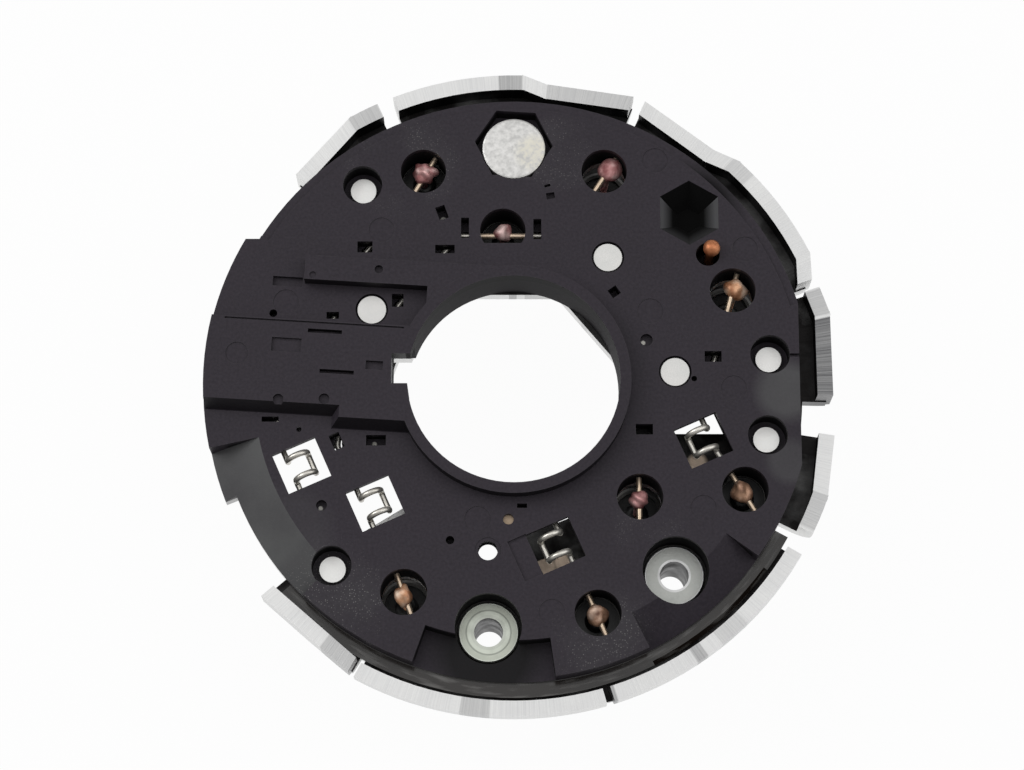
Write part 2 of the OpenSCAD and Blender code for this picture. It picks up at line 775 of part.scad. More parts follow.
module positive_heat_sink() {
    z0 = z_tray - cut;
    z1 = z_plate + cut;
    color(aluminium)
        difference() {
            union() {
                translate([0, 0, z_tray])
                    linear_extrude(sheet_t)
                        difference() {
                            union() {
                                circle(r = slot_root_r);
                                rim_plan(rim_inset, rim_floor_w, floor_lap);
                                arc_band(tab_r - rim_inset, wall_slot_a[0], wall_slot_a[1],
                                    rim_floor_w);
                            }
                            tray_opening();
                            polygon([
                                [-2 * tab_r, tray_cut_y[1]], [sink_cut_x, tray_cut_y[1]],
                                [sink_cut_x, tray_slant[1]], [tray_slant[0], tray_cut_y[0]],
                                [-2 * tab_r, tray_cut_y[0]]
                            ]);
                        }
                translate([0, 0, z_tray])
                    linear_extrude(tab_h)
                        rim_plan(0, sheet_t, tab_lap);
            }
            fold_waste();
            for (d = positive_diodes)
                at(d[0], d[1])
                    hole(diode_d + 2 * press_clear, z0, z1);
            for (d = negative_diodes)
                at(d[0], d[1])
                    hole(lead_hole_d, z0, z1);
            for (a = outer_rivet_a)
                at(outer_rivet_ring, a)
                    hole(spacer_neck_d() + 2 * loose_clear, z0, z1);
            for (a = inner_rivet_a)
                at(inner_rivet_ring, a)
                    hole(spacer_neck_d() + 2 * loose_clear, z0, z1);
            for (a = bush_a)
                at(bush_ring, a)
                    hole(bush_neck_d() + 2 * loose_clear, z0, z1);
            at(stud_ring, stud_a)
                hole(stud_neck_d + 2 * press_clear, z0, z1);
            lead_gaps(z0, z1);
            sink_vents(z0, z1);
        }
}

module negative_heat_sink() {
    z0 = -cut;
    z1 = neg_t + cut;
    color(aluminium)
        difference() {
            linear_extrude(neg_t)
                difference() {
                    circle(r = neg_r);
                    circle(r = neg_bore_r);
                    translate([-2 * neg_r, neg_cut_y[0]])
                        square([2 * neg_r + sink_cut_x, neg_cut_y[1] - neg_cut_y[0]]);
                }
            for (d = negative_diodes)
                at(d[0], d[1])
                    hole(diode_d + 2 * press_clear, z0, z1);
            for (a = outer_rivet_a)
                at(outer_rivet_ring, a)
                    hole(rivet_d + 2 * loose_clear, z0, z1);
            for (a = inner_rivet_a)
                at(inner_rivet_ring, a)
                    hole(rivet_d + 2 * loose_clear, z0, z1);
            for (a = bush_a)
                at(bush_ring, a)
                    hole(bush_d + 2 * press_clear, z0, z1);
            at(stud_ring, stud_a)
                hole(stud_sleeve_d() + 2 * loose_clear, z0, z1);
            sink_vents(z0, z1);
        }
}

// Diameters of the insulators where they pass through the heat sinks
function spacer_neck_d() = rivet_d + 2 * spacer_neck_wall;
function bush_neck_d() = bush_d + 2 * bush_neck_wall;
function stud_sleeve_d() = stud_d + 2 * stud_sleeve_wall;

// A press-fit diode: a cup with a filled mouth and a small mound under the lead
module diode(d, z0) {
    r = diode_d / 2;
    color(nickel)
        at(d[0], d[1])
            translate([0, 0, z0])
                rotate_extrude()
                    polygon([
                        [0, 0], [r - case_foot, 0], [r, case_foot], [r, diode_h - case_lip],
                        [r - case_lip, diode_h], [r - case_wall, diode_h],
                        [r - case_wall, diode_h - case_fill],
                        [lead_d + case_fill, diode_h - case_fill], [lead_d, diode_h], [0, diode_h]
                    ]);
}

// A head lead with the weld nugget that closes round the phase wire
module head_lead(d, z0) {
    color(copper)
        at(d[0], d[1])
            difference() {
                union() {
                    hole(lead_d, z0, z_wire);
                    translate([0, 0, z_wire])
                        sphere(d = nugget_d);
                }
                translate([0, 0, z_wire])
                    rotate(d[2])
                        rotate([0, 90, 0])
                            cylinder(d = wire_d + 2 * press_clear, h = 2 * nugget_d, center = true);
            }
}

module phase_wire(w, north, south) {
    color(tinned) {
        lead_hoops(w);
        wire_route(north);
        wire_route(south);
    }
}

// The battery stud, with a neck pressed into the positive heat sink
module battery_stud() {
    head_z = z_face - stud_head_drop - stud_head_h;
    head_top = head_z + stud_head_h;
    sleeve_end = -tail_t;
    relief_d = stud_d - 2 * stud_relief_depth;
    color(zinc)
        at(stud_ring, stud_a)
            rotate_extrude()
                polygon([
                    [0, -stud_free], [stud_d / 2 - stud_chamfer, -stud_free],
                    [stud_d / 2, stud_chamfer - stud_free], [stud_d / 2, sleeve_end - stud_relief_l],
                    [relief_d / 2, sleeve_end - stud_relief_l], [relief_d / 2, sleeve_end],
                    [stud_d / 2, sleeve_end], [stud_d / 2, z_tray],
                    [stud_neck_d / 2, z_tray], [stud_neck_d / 2, head_z],
                    [stud_head_d / 2, head_z], [stud_head_d / 2, head_top - stud_head_chamfer],
                    [stud_head_d / 2 - stud_head_chamfer, head_top], [0, head_top]
                ]);
}

// The flanged sleeve that keeps the stud off the negative heat sink
module stud_sleeve() {
    color(nylon)
        at(stud_ring, stud_a) {
            tube(stud_sleeve_d(), stud_d + 2 * loose_clear, -tail_t, neg_t);
            tube(stud_sleeve_d() + 2 * stud_flange_w, stud_d + 2 * loose_clear,
                neg_t, neg_t + stud_flange_t);
        }
}

// A short copper pin that stands on the positive heat sink
module sense_pin() {
    color(copper)
        at(sense_ring, sense_a) {
            hole(sense_pin_d, z_plate, z_face + sense_rise);
            translate([0, 0, z_face + sense_rise])
                sphere(d = sense_ball_d);
        }
}

module mounting_bush(a) {
    edge = bush_d / 2 - bush_chamfer;
    color(zinc)
        at(bush_ring, a)
            rotate_extrude()
                polygon([
                    [bush_bore_d / 2, 0], [edge, 0], [bush_d / 2, bush_chamfer],
                    [bush_d / 2, bush_h - bush_chamfer], [edge, bush_h], [bush_bore_d / 2, bush_h]
                ]);
}

module bush_spacer(a) {
    bore = bush_d + 2 * loose_clear;
    color(nylon)
        at(bush_ring, a) {
            tube(bush_neck_d() + 2 * bush_spacer_wall, bore, neg_t, z_tray);
            tube(bush_neck_d(), bore, z_tray, z_plate);
        }
}

// A rivet from its head down through the stack to its formed tail
module rivet(head_d, head_z) {
    hole(tail_d, -tail_t, 0);
    hole(rivet_d, 0, head_z);
    hole(head_d, head_z, head_z + rivet_head_t);
}

module outer_rivets() {
    color(aluminium)
        for (a = outer_rivet_a)
            at(outer_rivet_ring, a)
                rivet(outer_head_d, z_face - outer_head_drop - rivet_head_t);
}

module inner_rivets() {
    color(aluminium)
        for (a = inner_rivet_a)
            at(inner_rivet_ring, a)
                rivet(inner_head_d, z_face - inner_head_drop - rivet_head_t);
}

module rivet_spacer() {
    bore = rivet_d + 2 * loose_clear;
    tube(rivet_d + 2 * spacer_wall, bore, neg_t, z_tray);
    tube(spacer_neck_d(), bore, z_tray, z_plate);
}

module rivet_spacers() {
    color(nylon) {
        for (a = outer_rivet_a)
            at(outer_rivet_ring, a)
                rivet_spacer();
        for (a = inner_rivet_a)
            at(inner_rivet_ring, a)
                rivet_spacer();
    }
}

terminal_plate();
positive_heat_sink();
negative_heat_sink();
for (i = [0 : 3]) {
    diode(positive_diodes[i], positive_z);
    diode(negative_diodes[i], 0);
    head_lead(positive_diodes[i], positive_z + diode_h);
    head_lead(negative_diodes[i], diode_h);
}
phase_wire(lead_windows[0], route_u_north, route_u_south);  // phase_wire_u
phase_wire(lead_windows[1], route_v_north, route_v_south);  // phase_wire_v
phase_wire(lead_windows[2], route_w_north, route_w_south);  // phase_wire_w
phase_wire(lead_windows[3], route_n_north, route_n_south);  // neutral_wire
battery_stud();
stud_sleeve();
sense_pin();
for (i = [0 : 1]) {
    mounting_bush(bush_a[i]);
    bush_spacer(bush_a[i]);
}
outer_rivets();
inner_rivets();
rivet_spacers();
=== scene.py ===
import json
import math

import bpy
import numpy as np
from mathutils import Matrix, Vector
from mathutils.geometry import delaunay_2d_cdt


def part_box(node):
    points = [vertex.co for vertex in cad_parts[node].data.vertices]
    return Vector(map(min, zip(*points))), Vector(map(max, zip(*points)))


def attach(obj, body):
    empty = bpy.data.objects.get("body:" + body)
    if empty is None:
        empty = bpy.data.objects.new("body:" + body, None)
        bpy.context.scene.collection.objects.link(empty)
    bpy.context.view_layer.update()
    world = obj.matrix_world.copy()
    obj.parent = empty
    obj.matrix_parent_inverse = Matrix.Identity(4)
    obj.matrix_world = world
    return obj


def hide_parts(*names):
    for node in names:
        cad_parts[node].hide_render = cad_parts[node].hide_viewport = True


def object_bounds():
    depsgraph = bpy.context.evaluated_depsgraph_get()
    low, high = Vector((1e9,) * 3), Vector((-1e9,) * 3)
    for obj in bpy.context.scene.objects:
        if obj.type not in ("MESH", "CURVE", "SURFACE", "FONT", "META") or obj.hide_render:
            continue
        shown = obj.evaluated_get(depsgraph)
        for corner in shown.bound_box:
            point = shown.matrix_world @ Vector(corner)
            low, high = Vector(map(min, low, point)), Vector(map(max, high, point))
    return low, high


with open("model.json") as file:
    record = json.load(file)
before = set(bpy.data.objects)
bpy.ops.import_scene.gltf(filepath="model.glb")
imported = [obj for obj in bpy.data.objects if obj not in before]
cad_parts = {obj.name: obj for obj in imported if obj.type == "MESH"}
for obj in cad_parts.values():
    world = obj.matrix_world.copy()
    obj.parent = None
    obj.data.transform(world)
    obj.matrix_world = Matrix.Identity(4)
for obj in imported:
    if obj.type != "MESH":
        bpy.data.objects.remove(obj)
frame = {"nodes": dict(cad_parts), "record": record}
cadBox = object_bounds()
nodes = frame["nodes"]
mm = 0.001
print("frame loaded:", len(nodes), "nodes")


# terminal plate's own places, in mm

plateSet = {
    "raised": 4.0,              # from the face up to the platform
    "pocket": (39.598, 39.598),     # middle of the spare six-sided pocket
}
plateLow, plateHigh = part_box("terminal_plate")
faceZ = plateHigh.z - plateSet["raised"] * mm


def addObject(name, data):
    thing = bpy.data.objects.new(name, data)
    bpy.context.scene.collection.objects.link(thing)
    return thing


def aim(thing, direction):
    thing.rotation_mode = "QUATERNION"
    thing.rotation_quaternion = direction.to_track_quat("-Z", "Y")


# camera

cameraSet = {
    "elevation": 75.5,          # degrees above the floor, looking along +Y
    "distance": 644.4,          # mm from the point looked at
    "lookAt": (-0.41, -0.6),    # mm from the bore's axis, on the plate's face
    "focalPixels": 2900,
    "imageWidth": 1024,
    "sensor": 36.0,
    "clip": (0.01, 20.0),       # m
}


def makeCamera(opts):
    e = math.radians(opts["elevation"])
    back = Vector((0.0, -math.cos(e), math.sin(e)))
    target = Vector((opts["lookAt"][0] * mm, opts["lookAt"][1] * mm, faceZ))
    data = bpy.data.cameras.new("photoCamera")
    data.sensor_fit = "HORIZONTAL"
    data.sensor_width = opts["sensor"]
    data.lens = opts["focalPixels"] / opts["imageWidth"] * opts["sensor"]
    data.clip_start, data.clip_end = opts["clip"]
    cam = addObject("photoCamera", data)
    cam.location = target + back * opts["distance"] * mm
    aim(cam, -back)
    bpy.context.scene.camera = cam


makeCamera(cameraSet)
print("camera set")


# node helpers

def newMaterial(name):
    mat = bpy.data.materials.new(name)
    mat.use_nodes = True
    tree = mat.node_tree
    return mat, tree, tree.nodes["Principled BSDF"]


def addNode(tree, kind, **values):
    node = tree.nodes.new(kind)
    for key, value in values.items():
        setattr(node, key, value)
    return node


def feed(tree, socket, value):
    # a plain value goes on the socket, an output is linked to it
    if isinstance(value, bpy.types.NodeSocket):
        tree.links.new(value, socket)
    elif isinstance(value, tuple) and socket.type == "RGBA":
        socket.default_value = (*value, 1.0)
    else:
        socket.default_value = value


def calc(tree, operation, *values, clamp=False):
    node = addNode(tree, "ShaderNodeMath", operation=operation, use_clamp=clamp)
    for socket, value in zip(node.inputs, values):
        feed(tree, socket, value)
    return node.outputs[0]


def calcVector(tree, operation, *values, out="Vector"):
    node = addNode(tree, "ShaderNodeVectorMath", operation=operation)
    for socket, value in zip(node.inputs, values):
        feed(tree, socket, value)
    return node.outputs[out]


def product(tree, *values):
    total = values[0]
    for value in values[1:]:
        total = calc(tree, "MULTIPLY", total, value, clamp=True)
    return total


def blendOf(tree, a, b, share):
    # a share of the first value and the rest of the second
    return calc(tree, "ADD", calc(tree, "MULTIPLY", a, share), calc(tree, "MULTIPLY", b, 1.0 - share))


def mixColour(tree, factor, a, b):
    node = addNode(tree, "ShaderNodeMix", data_type="RGBA")
    feed(tree, node.inputs[0], factor)
    feed(tree, node.inputs[6], a)
    feed(tree, node.inputs[7], b)
    return node.outputs[2]


def ramp(tree, value, low, high, start=0.0, end=1.0):
    node = addNode(tree, "ShaderNodeMapRange")
    feed(tree, node.inputs["Value"], value)
    feed(tree, node.inputs["From Min"], low)
    feed(tree, node.inputs["From Max"], high)
    feed(tree, node.inputs["To Min"], start)
    feed(tree, node.inputs["To Max"], end)
    return node.outputs["Result"]


def objectPoint(tree):
    return addNode(tree, "ShaderNodeTexCoord").outputs["Object"]


def planPoint(tree):
    # the point as seen from above, with its height left out
    return calcVector(tree, "MULTIPLY", objectPoint(tree), (1.0, 1.0, 0.0))


def planRadius(tree):
    return calcVector(tree, "LENGTH", planPoint(tree), out="Value")


def trueNormal(tree):
    return addNode(tree, "ShaderNodeNewGeometry").outputs["Normal"]


def splitVector(tree, vector):
    node = addNode(tree, "ShaderNodeSeparateXYZ")
    feed(tree, node.inputs[0], vector)
    return node.outputs


def noise(tree, vector, scale, detail=3.0):
    node = addNode(tree, "ShaderNodeTexNoise")
    feed(tree, node.inputs["Vector"], vector)
    feed(tree, node.inputs["Scale"], scale)
    node.inputs["Detail"].default_value = detail
    return node.outputs["Fac"]


def bumpFrom(tree, bsdf, height, strength, distance=0.0002):
    node = addNode(tree, "ShaderNodeBump")
    node.inputs["Strength"].default_value = strength
    node.inputs["Distance"].default_value = distance
    feed(tree, node.inputs["Height"], height)
    tree.links.new(node.outputs["Normal"], bsdf.inputs["Normal"])


# masks of the plan, with places and radii in mm

maskForm = {
    "core": 0.6,                # share of a spot's radius that has its full strength
    "blur": 0.06,               # mm to each side of a ring's border
}


def planCentre(node):
    low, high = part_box(node)
    return (low.x + high.x) / 2 / mm, (low.y + high.y) / 2 / mm


def planDistance(tree, point, x, y):
    return calcVector(tree, "DISTANCE", point, (x * mm, y * mm, 0.0), out="Value")


def spotMask(tree, spots):
    # a strength, 1 if none is given, inside each disc, with a soft border
    point = planPoint(tree)
    total = 0.0
    for x, y, r, *strength in spots:
        away = planDistance(tree, point, x, y)
        spot = ramp(tree, away, r * mm, r * maskForm["core"] * mm, 0.0, *(strength or [1.0]))
        total = calc(tree, "MAXIMUM", total, spot)
    return total


def ringMask(tree, centre, inner, outer):
    # 1 between two radii round a place, and 0 elsewhere
    away = planDistance(tree, planPoint(tree), *centre)
    blur = maskForm["blur"]
    return product(tree, ramp(tree, away, (inner - blur) * mm, (inner + blur) * mm),
                   ramp(tree, away, (outer + blur) * mm, (outer - blur) * mm))


# shared effects

edgeForm = {"samples": 4, "lean": (0.98, 0.75), "broken": (0.35, 0.6)}
speckForm = {"dot": (0.3, 0.1), "kept": (0.15, 0.7), "dense": 0.75}


def newGroup(name, inputs, outputs):
    tree = bpy.data.node_groups.new(name, "ShaderNodeTree")
    for title, value in inputs.items():
        socket = tree.interface.new_socket(title, in_out="INPUT", socket_type="NodeSocketFloat")
        socket.default_value = value
    for title in outputs:
        tree.interface.new_socket(title, in_out="OUTPUT", socket_type="NodeSocketFloat")
    return tree, tree.nodes.new("NodeGroupInput").outputs, tree.nodes.new("NodeGroupOutput").inputs


def placeGroup(tree, group, **values):
    node = tree.nodes.new("ShaderNodeGroup")
    node.node_tree = group
    for title, value in values.items():
        node.inputs[title].default_value = value
    return node.outputs


def makeEdgeGroup(form):
    # how far the rounded normal leans away from the flat one, broken up by noise: 1 on edges, which are
    # painted paler as wear and as a painted highlight
    tree, given, result = newGroup("edgeWearAndHighlight", {"Radius": 0.0003, "Break": 700.0}, ["Mask"])
    bevel = addNode(tree, "ShaderNodeBevel", samples=form["samples"])
    feed(tree, bevel.inputs["Radius"], given["Radius"])
    lean = calcVector(tree, "DOT_PRODUCT", bevel.outputs["Normal"], trueNormal(tree), out="Value")
    broken = ramp(tree, noise(tree, objectPoint(tree), given["Break"]), *form["broken"])
    tree.links.new(product(tree, ramp(tree, lean, *form["lean"]), broken), result["Mask"])
    return tree


def makeGrainGroup():
    # a fine noise for height, and a slow one for tone
    tree, given, result = newGroup("surfaceGrain", {"Fine": 2500.0, "Cloud": 40.0}, ["Height", "Tone"])
    point = objectPoint(tree)
    tree.links.new(noise(tree, point, given["Fine"], 2.0), result["Height"])
    tree.links.new(noise(tree, point, given["Cloud"], 6.0), result["Tone"])
    return tree


def makeSpeckGroup(form):
    # small round cells, a few of them kept, inside slow patches
    tree, given, result = newGroup(
        "dustSpecks", {"Scale": 1400.0, "Patch": 26.0, "Spread": 0.5}, ["Mask", "Film"])
    point = objectPoint(tree)
    cells = addNode(tree, "ShaderNodeTexVoronoi")
    feed(tree, cells.inputs["Vector"], point)
    feed(tree, cells.inputs["Scale"], given["Scale"])
    draw = addNode(tree, "ShaderNodeSeparateColor")
    feed(tree, draw.inputs["Color"], cells.outputs["Color"])
    dots = ramp(tree, cells.outputs["Distance"], *form["dot"])
    kept = ramp(tree, draw.outputs["Red"], *form["kept"])
    filmAndLitGrey = ramp(tree, noise(tree, point, given["Patch"], 5.0), given["Spread"], form["dense"])
    tree.links.new(product(tree, dots, kept, filmAndLitGrey), result["Mask"])
    tree.links.new(filmAndLitGrey, result["Film"])
    return tree


def makeRadialGroup():
    # noise stretched from the axis outwards: quick round the axis, slow along the radius and the height
    tree, given, result = newGroup(
        "radialLines", {"Around": 260.0, "Outward": 25.0}, ["Lines", "Radius", "Turn"])
    x, y, z = splitVector(tree, objectPoint(tree))
    turn = calc(tree, "ARCTAN2", y, x)
    radius = planRadius(tree)
    spread = addNode(tree, "ShaderNodeCombineXYZ")
    feed(tree, spread.inputs[0], calc(tree, "MULTIPLY", turn, given["Around"]))
    feed(tree, spread.inputs[1], calc(tree, "MULTIPLY", radius, given["Outward"]))
    feed(tree, spread.inputs[2], calc(tree, "MULTIPLY", z, given["Outward"]))
    tree.links.new(noise(tree, spread.outputs[0], 1.0, 4.0), result["Lines"])
    tree.links.new(radius, result["Radius"])
    tree.links.new(turn, result["Turn"])
    return tree


edgeGroup = makeEdgeGroup(edgeForm)
grainGroup = makeGrainGroup()
speckGroup = makeSpeckGroup(speckForm)
radialGroup = makeRadialGroup()


# charcoal moulding of the terminal plate

mouldingLook = {
    # colours
    "dark": (0.0220, 0.0180, 0.0242),
    "pale": (0.0480, 0.0402, 0.0512),
    # the edge colour is wear and a painted highlight
    "edge": (0.070, 0.065, 0.071),
    "filmAndLitGrey": (0.145, 0.150, 0.147),
    "dust": (0.34, 0.33, 0.32),
    "shade": (0.002, 0.002, 0.002),
    "varnish": (0.012, 0.008, 0.006),
    "flangeHighlight": (0.125, 0.12, 0.115),
    "litFacet": (0.105, 0.105, 0.110),
    "tan": (0.62, 0.47, 0.33),
    "highlightTint": (0.80, 0.78, 0.72),
    # surface
    "mottle": 1500.0,           # small tone cells to a metre
    "specular": 0.2,
    "roughness": (0.42, 0.58),
    "varnishRoughness": 0.25,
    "coatRoughness": 0.12,
    "bump": 0.10,
    # strengths
    "edgeWearAndHighlight": 0.6,
    "rampLight": 0.66,
    "dustFilm": 0.16,
    "wallShade": (0.7, 0.88),   # on the bore's wall, which gets more light, and on the others
    "pitShade": 0.85,
    "slopeShade": 0.7,
    "nearFacet": 0.92,          # weight of the pocket's near sides in the painted light of the facets, beside those at left and right
    # noise where an effect starts and is full, and its strength at each
    "mottleTones": (0.25, 0.75),
    "smearAndRampTones": (0.3, 0.6, 0.6, 1.0),
    "streakTones": (0.5, 0.72),
    # upward part of the normal where an effect starts and is full
    "steep": (0.6, 0.3),
    "level": (0.6, 0.9),
    "belowLevel": (0.97, 0.92),
    "aboveSteep": (0.7, 0.8),
    # the same for its level parts
    "nearSide": (-0.15, -0.35),     # along +Y, on slopes that look to the near side
    "facetSide": (0.6, 0.8),    # on the pocket's sides
    # mm from the axis
    "rim": 66.3,                # the plate's round edge
    "bore": 24.0,               # the bore's wall
    # mm past the bore, or in from the rim, where an effect starts and is full
    "boreWall": (1.0, 0.5),
    "otherWalls": (1.0, 3.0),
    "insideRim": (0.5, 1.5),
    "atRim": (0.3, 0.1),
    # the same in mm under the face, or above the underside for the flange
    "wallDepth": (0.4, 2.0),
    "pitDepth": (2.0, 4.0),
    "slopeDepth": (-0.1, -0.4),     # over the face
    "floorDepth": (0.7, 1.0),
    "pocketDepth": (0.02, 0.1),
    "facetDepth": (4.5, 1.0),
    "flange": (3.2, 3.0),
    # places and radii in mm, some with a strength
    "dusty": [(-25.3, 51.0, 14.0), (10.3, 53.3, 10.0), (-38.6, -47.7, 14.0), (19.0, -57.0, 13.0),
              (30.0, -33.0, 9.0, 0.7)],
    "ramp": [(-60.0, -26.0, 26.0), (-46.0, -45.0, 20.0, 0.75)],    # painted light: greyed where the face slopes
    "faded": [(60.5, -2.0, 8.0, 0.42), (61.0, -18.0, 6.0, 0.3), (-50.0, -34.0, 12.0, 0.12)],
    "pits": [(-5.6, -60.0, 13.5)],
    # painted light: a warm lit floor and wire glints in small windows
    "warmLitFloor": [(-1.2, -31.0, 1.5)],
    "paintedGlints": [(2.0, -28.3, 0.8), (-16.0, 39.2, 0.8), (5.2, 34.9, 0.7), (28.9, 9.5, 0.6), (28.6, -11.1, 0.8),
               (-31.0, -13.1, 0.6), (-53.5, -8.6, 0.5), (-42.6, -28.2, 0.6)],
    "pocket": [(*plateSet["pocket"], 13.0)],
}
midTones = (0.3, 0.7)           # where most of a slow noise lies


def plateSite(tree, opts):
    # where a point lies on the plate, in mm from its main faces, and the parts of its normal
    z = splitVector(tree, objectPoint(tree))[2]
    radius = calc(tree, "DIVIDE", planRadius(tree), mm)
    east, north, up = splitVector(tree, trueNormal(tree))
    return {
        "depth": calc(tree, "DIVIDE", calc(tree, "SUBTRACT", faceZ, z), mm),
        "height": calc(tree, "DIVIDE", calc(tree, "SUBTRACT", z, plateLow.z), mm),
        "pastBore": calc(tree, "SUBTRACT", radius, opts["bore"]),
        "inFromRim": calc(tree, "SUBTRACT", opts["rim"], radius),
        "east": east,
        "north": north,
        "up": up,
    }


def paintFace(tree, site, grain, opts):
    # two scales of mottle, a grey film where smeared and painted light as paler grey where the left side
    # slopes, pale edges that are worn and a painted highlight, and dusty patches
    edge = placeGroup(tree, edgeGroup, Radius=0.0003, Break=700.0)
    dust = placeGroup(tree, speckGroup, Scale=2100.0, Patch=70.0, Spread=0.38)
    up = site["up"]
    mottle = ramp(tree, noise(tree, objectPoint(tree), opts["mottle"], 2.0), *opts["mottleTones"])
    base = mixColour(tree, blendOf(tree, grain["Tone"], mottle, 0.5), opts["dark"], opts["pale"])
    sloped = product(tree, ramp(tree, up, *opts["belowLevel"]), ramp(tree, up, *opts["aboveSteep"]),
                     # painted light: paler grey on the faces that slope at the left side
                     spotMask(tree, opts["ramp"]), opts["rampLight"])
    smearAndRampLight = calc(tree, "MAXIMUM", spotMask(tree, opts["faded"]), sloped)
    smearAndRampLight = product(tree, smearAndRampLight, ramp(tree, grain["Tone"], *opts["smearAndRampTones"]))
    base = mixColour(tree, smearAndRampLight, base, opts["filmAndLitGrey"])
    # pale edges: wear and a painted highlight
    base = mixColour(tree, product(tree, edge["Mask"], opts["edgeWearAndHighlight"]), base, opts["edge"])
    dusty = spotMask(tree, opts["dusty"])
    base = mixColour(tree, product(tree, dust["Film"], dusty, opts["dustFilm"]), base, opts["filmAndLitGrey"])
    return mixColour(tree, product(tree, dust["Mask"], dusty), base, opts["dust"])


def paintHollows(tree, site, base, opts):
    # steep walls below the face, the bore's wall and the floor of the bush pocket lie in shade
    depth, up, pastBore = site["depth"], site["up"], site["pastBore"]
    deep = calc(tree, "MAXIMUM", ramp(tree, depth, *opts["wallDepth"]),
                ramp(tree, pastBore, *opts["boreWall"]))
    walls = product(tree, ramp(tree, up, *opts["steep"]), deep,
                    ramp(tree, site["inFromRim"], *opts["insideRim"]),
                    ramp(tree, pastBore, *opts["otherWalls"], *opts["wallShade"]))
    pits = product(tree, spotMask(tree, opts["pits"]), ramp(tree, depth, *opts["pitDepth"]), opts["pitShade"])
    base = mixColour(tree, calc(tree, "MAXIMUM", walls, pits), base, opts["shade"])
    # so do the near slopes of the raised strip and platform
    slopes = product(tree, ramp(tree, site["north"], *opts["nearSide"]),
                     ramp(tree, depth, *opts["slopeDepth"]), opts["slopeShade"])
    base = mixColour(tree, slopes, base, opts["shade"])
    # painted light: a warm lit patch and bright glints on the floors of a few small windows, where metal
    # shows below
    floors = product(tree, ramp(tree, up, *opts["level"]), ramp(tree, depth, *opts["floorDepth"]))
    base = mixColour(tree, product(tree, spotMask(tree, opts["warmLitFloor"]), floors), base, opts["tan"])
    base = mixColour(tree, product(tree, spotMask(tree, opts["paintedGlints"]), floors), base, opts["highlightTint"])
    # painted shade makes the spare pocket black, and painted light makes grey facets at its sides
    pocket = product(tree, spotMask(tree, opts["pocket"]), ramp(tree, depth, *opts["pocketDepth"]))
    base = mixColour(tree, pocket, base, opts["shade"])
    beside = calc(tree, "MAXIMUM", calc(tree, "ABSOLUTE", site["east"]),
                  calc(tree, "MULTIPLY", site["north"], opts["nearFacet"]))
    litFacets = product(tree, pocket, ramp(tree, beside, *opts["facetSide"]),
                     ramp(tree, depth, *opts["facetDepth"]))
    return mixColour(tree, litFacets, base, opts["litFacet"]), calc(tree, "MAXIMUM", walls, pocket)


def makeMoulding(opts):
    mat, tree, bsdf = newMaterial("charcoalMoulding")
    grain = placeGroup(tree, grainGroup, Fine=3200.0, Cloud=55.0)
    site = plateSite(tree, opts)
    base, hollows = paintHollows(tree, site, paintFace(tree, site, grain, opts), opts)
    # the flange at the foot of the rim is varnished, with painted highlights streaked round it
    flow = placeGroup(tree, radialGroup, Around=9.0, Outward=900.0)["Lines"]
    varnish = product(tree, ramp(tree, site["inFromRim"], *opts["atRim"]),
                      ramp(tree, site["height"], *opts["flange"]))
    base = mixColour(tree, varnish, base, opts["varnish"])
    # painted highlight: pale streaks round the flange
    streaks = product(tree, varnish, ramp(tree, flow, *opts["streakTones"]))
    base = mixColour(tree, streaks, base, opts["flangeHighlight"])
    feed(tree, bsdf.inputs["Base Color"], base)
    bsdf.inputs["Specular IOR Level"].default_value = opts["specular"]
    rough = calc(tree, "MAXIMUM", ramp(tree, grain["Tone"], *midTones, *opts["roughness"]), hollows)
    feed(tree, bsdf.inputs["Roughness"], ramp(tree, varnish, 0.0, 1.0, rough, opts["varnishRoughness"]))
    feed(tree, bsdf.inputs["Coat Weight"], varnish)
    bsdf.inputs["Coat Roughness"].default_value = opts["coatRoughness"]
    fine = calc(tree, "MULTIPLY", grain["Height"], calc(tree, "SUBTRACT", 1.0, varnish))
    bumpFrom(tree, bsdf, calc(tree, "ADD", fine, product(tree, varnish, flow)), opts["bump"])
    return mat


# pressed aluminium of the heat sinks: pale cut edges, worn and with a painted highlight, inner faces darkened
# with painted shade, brushed across the rim

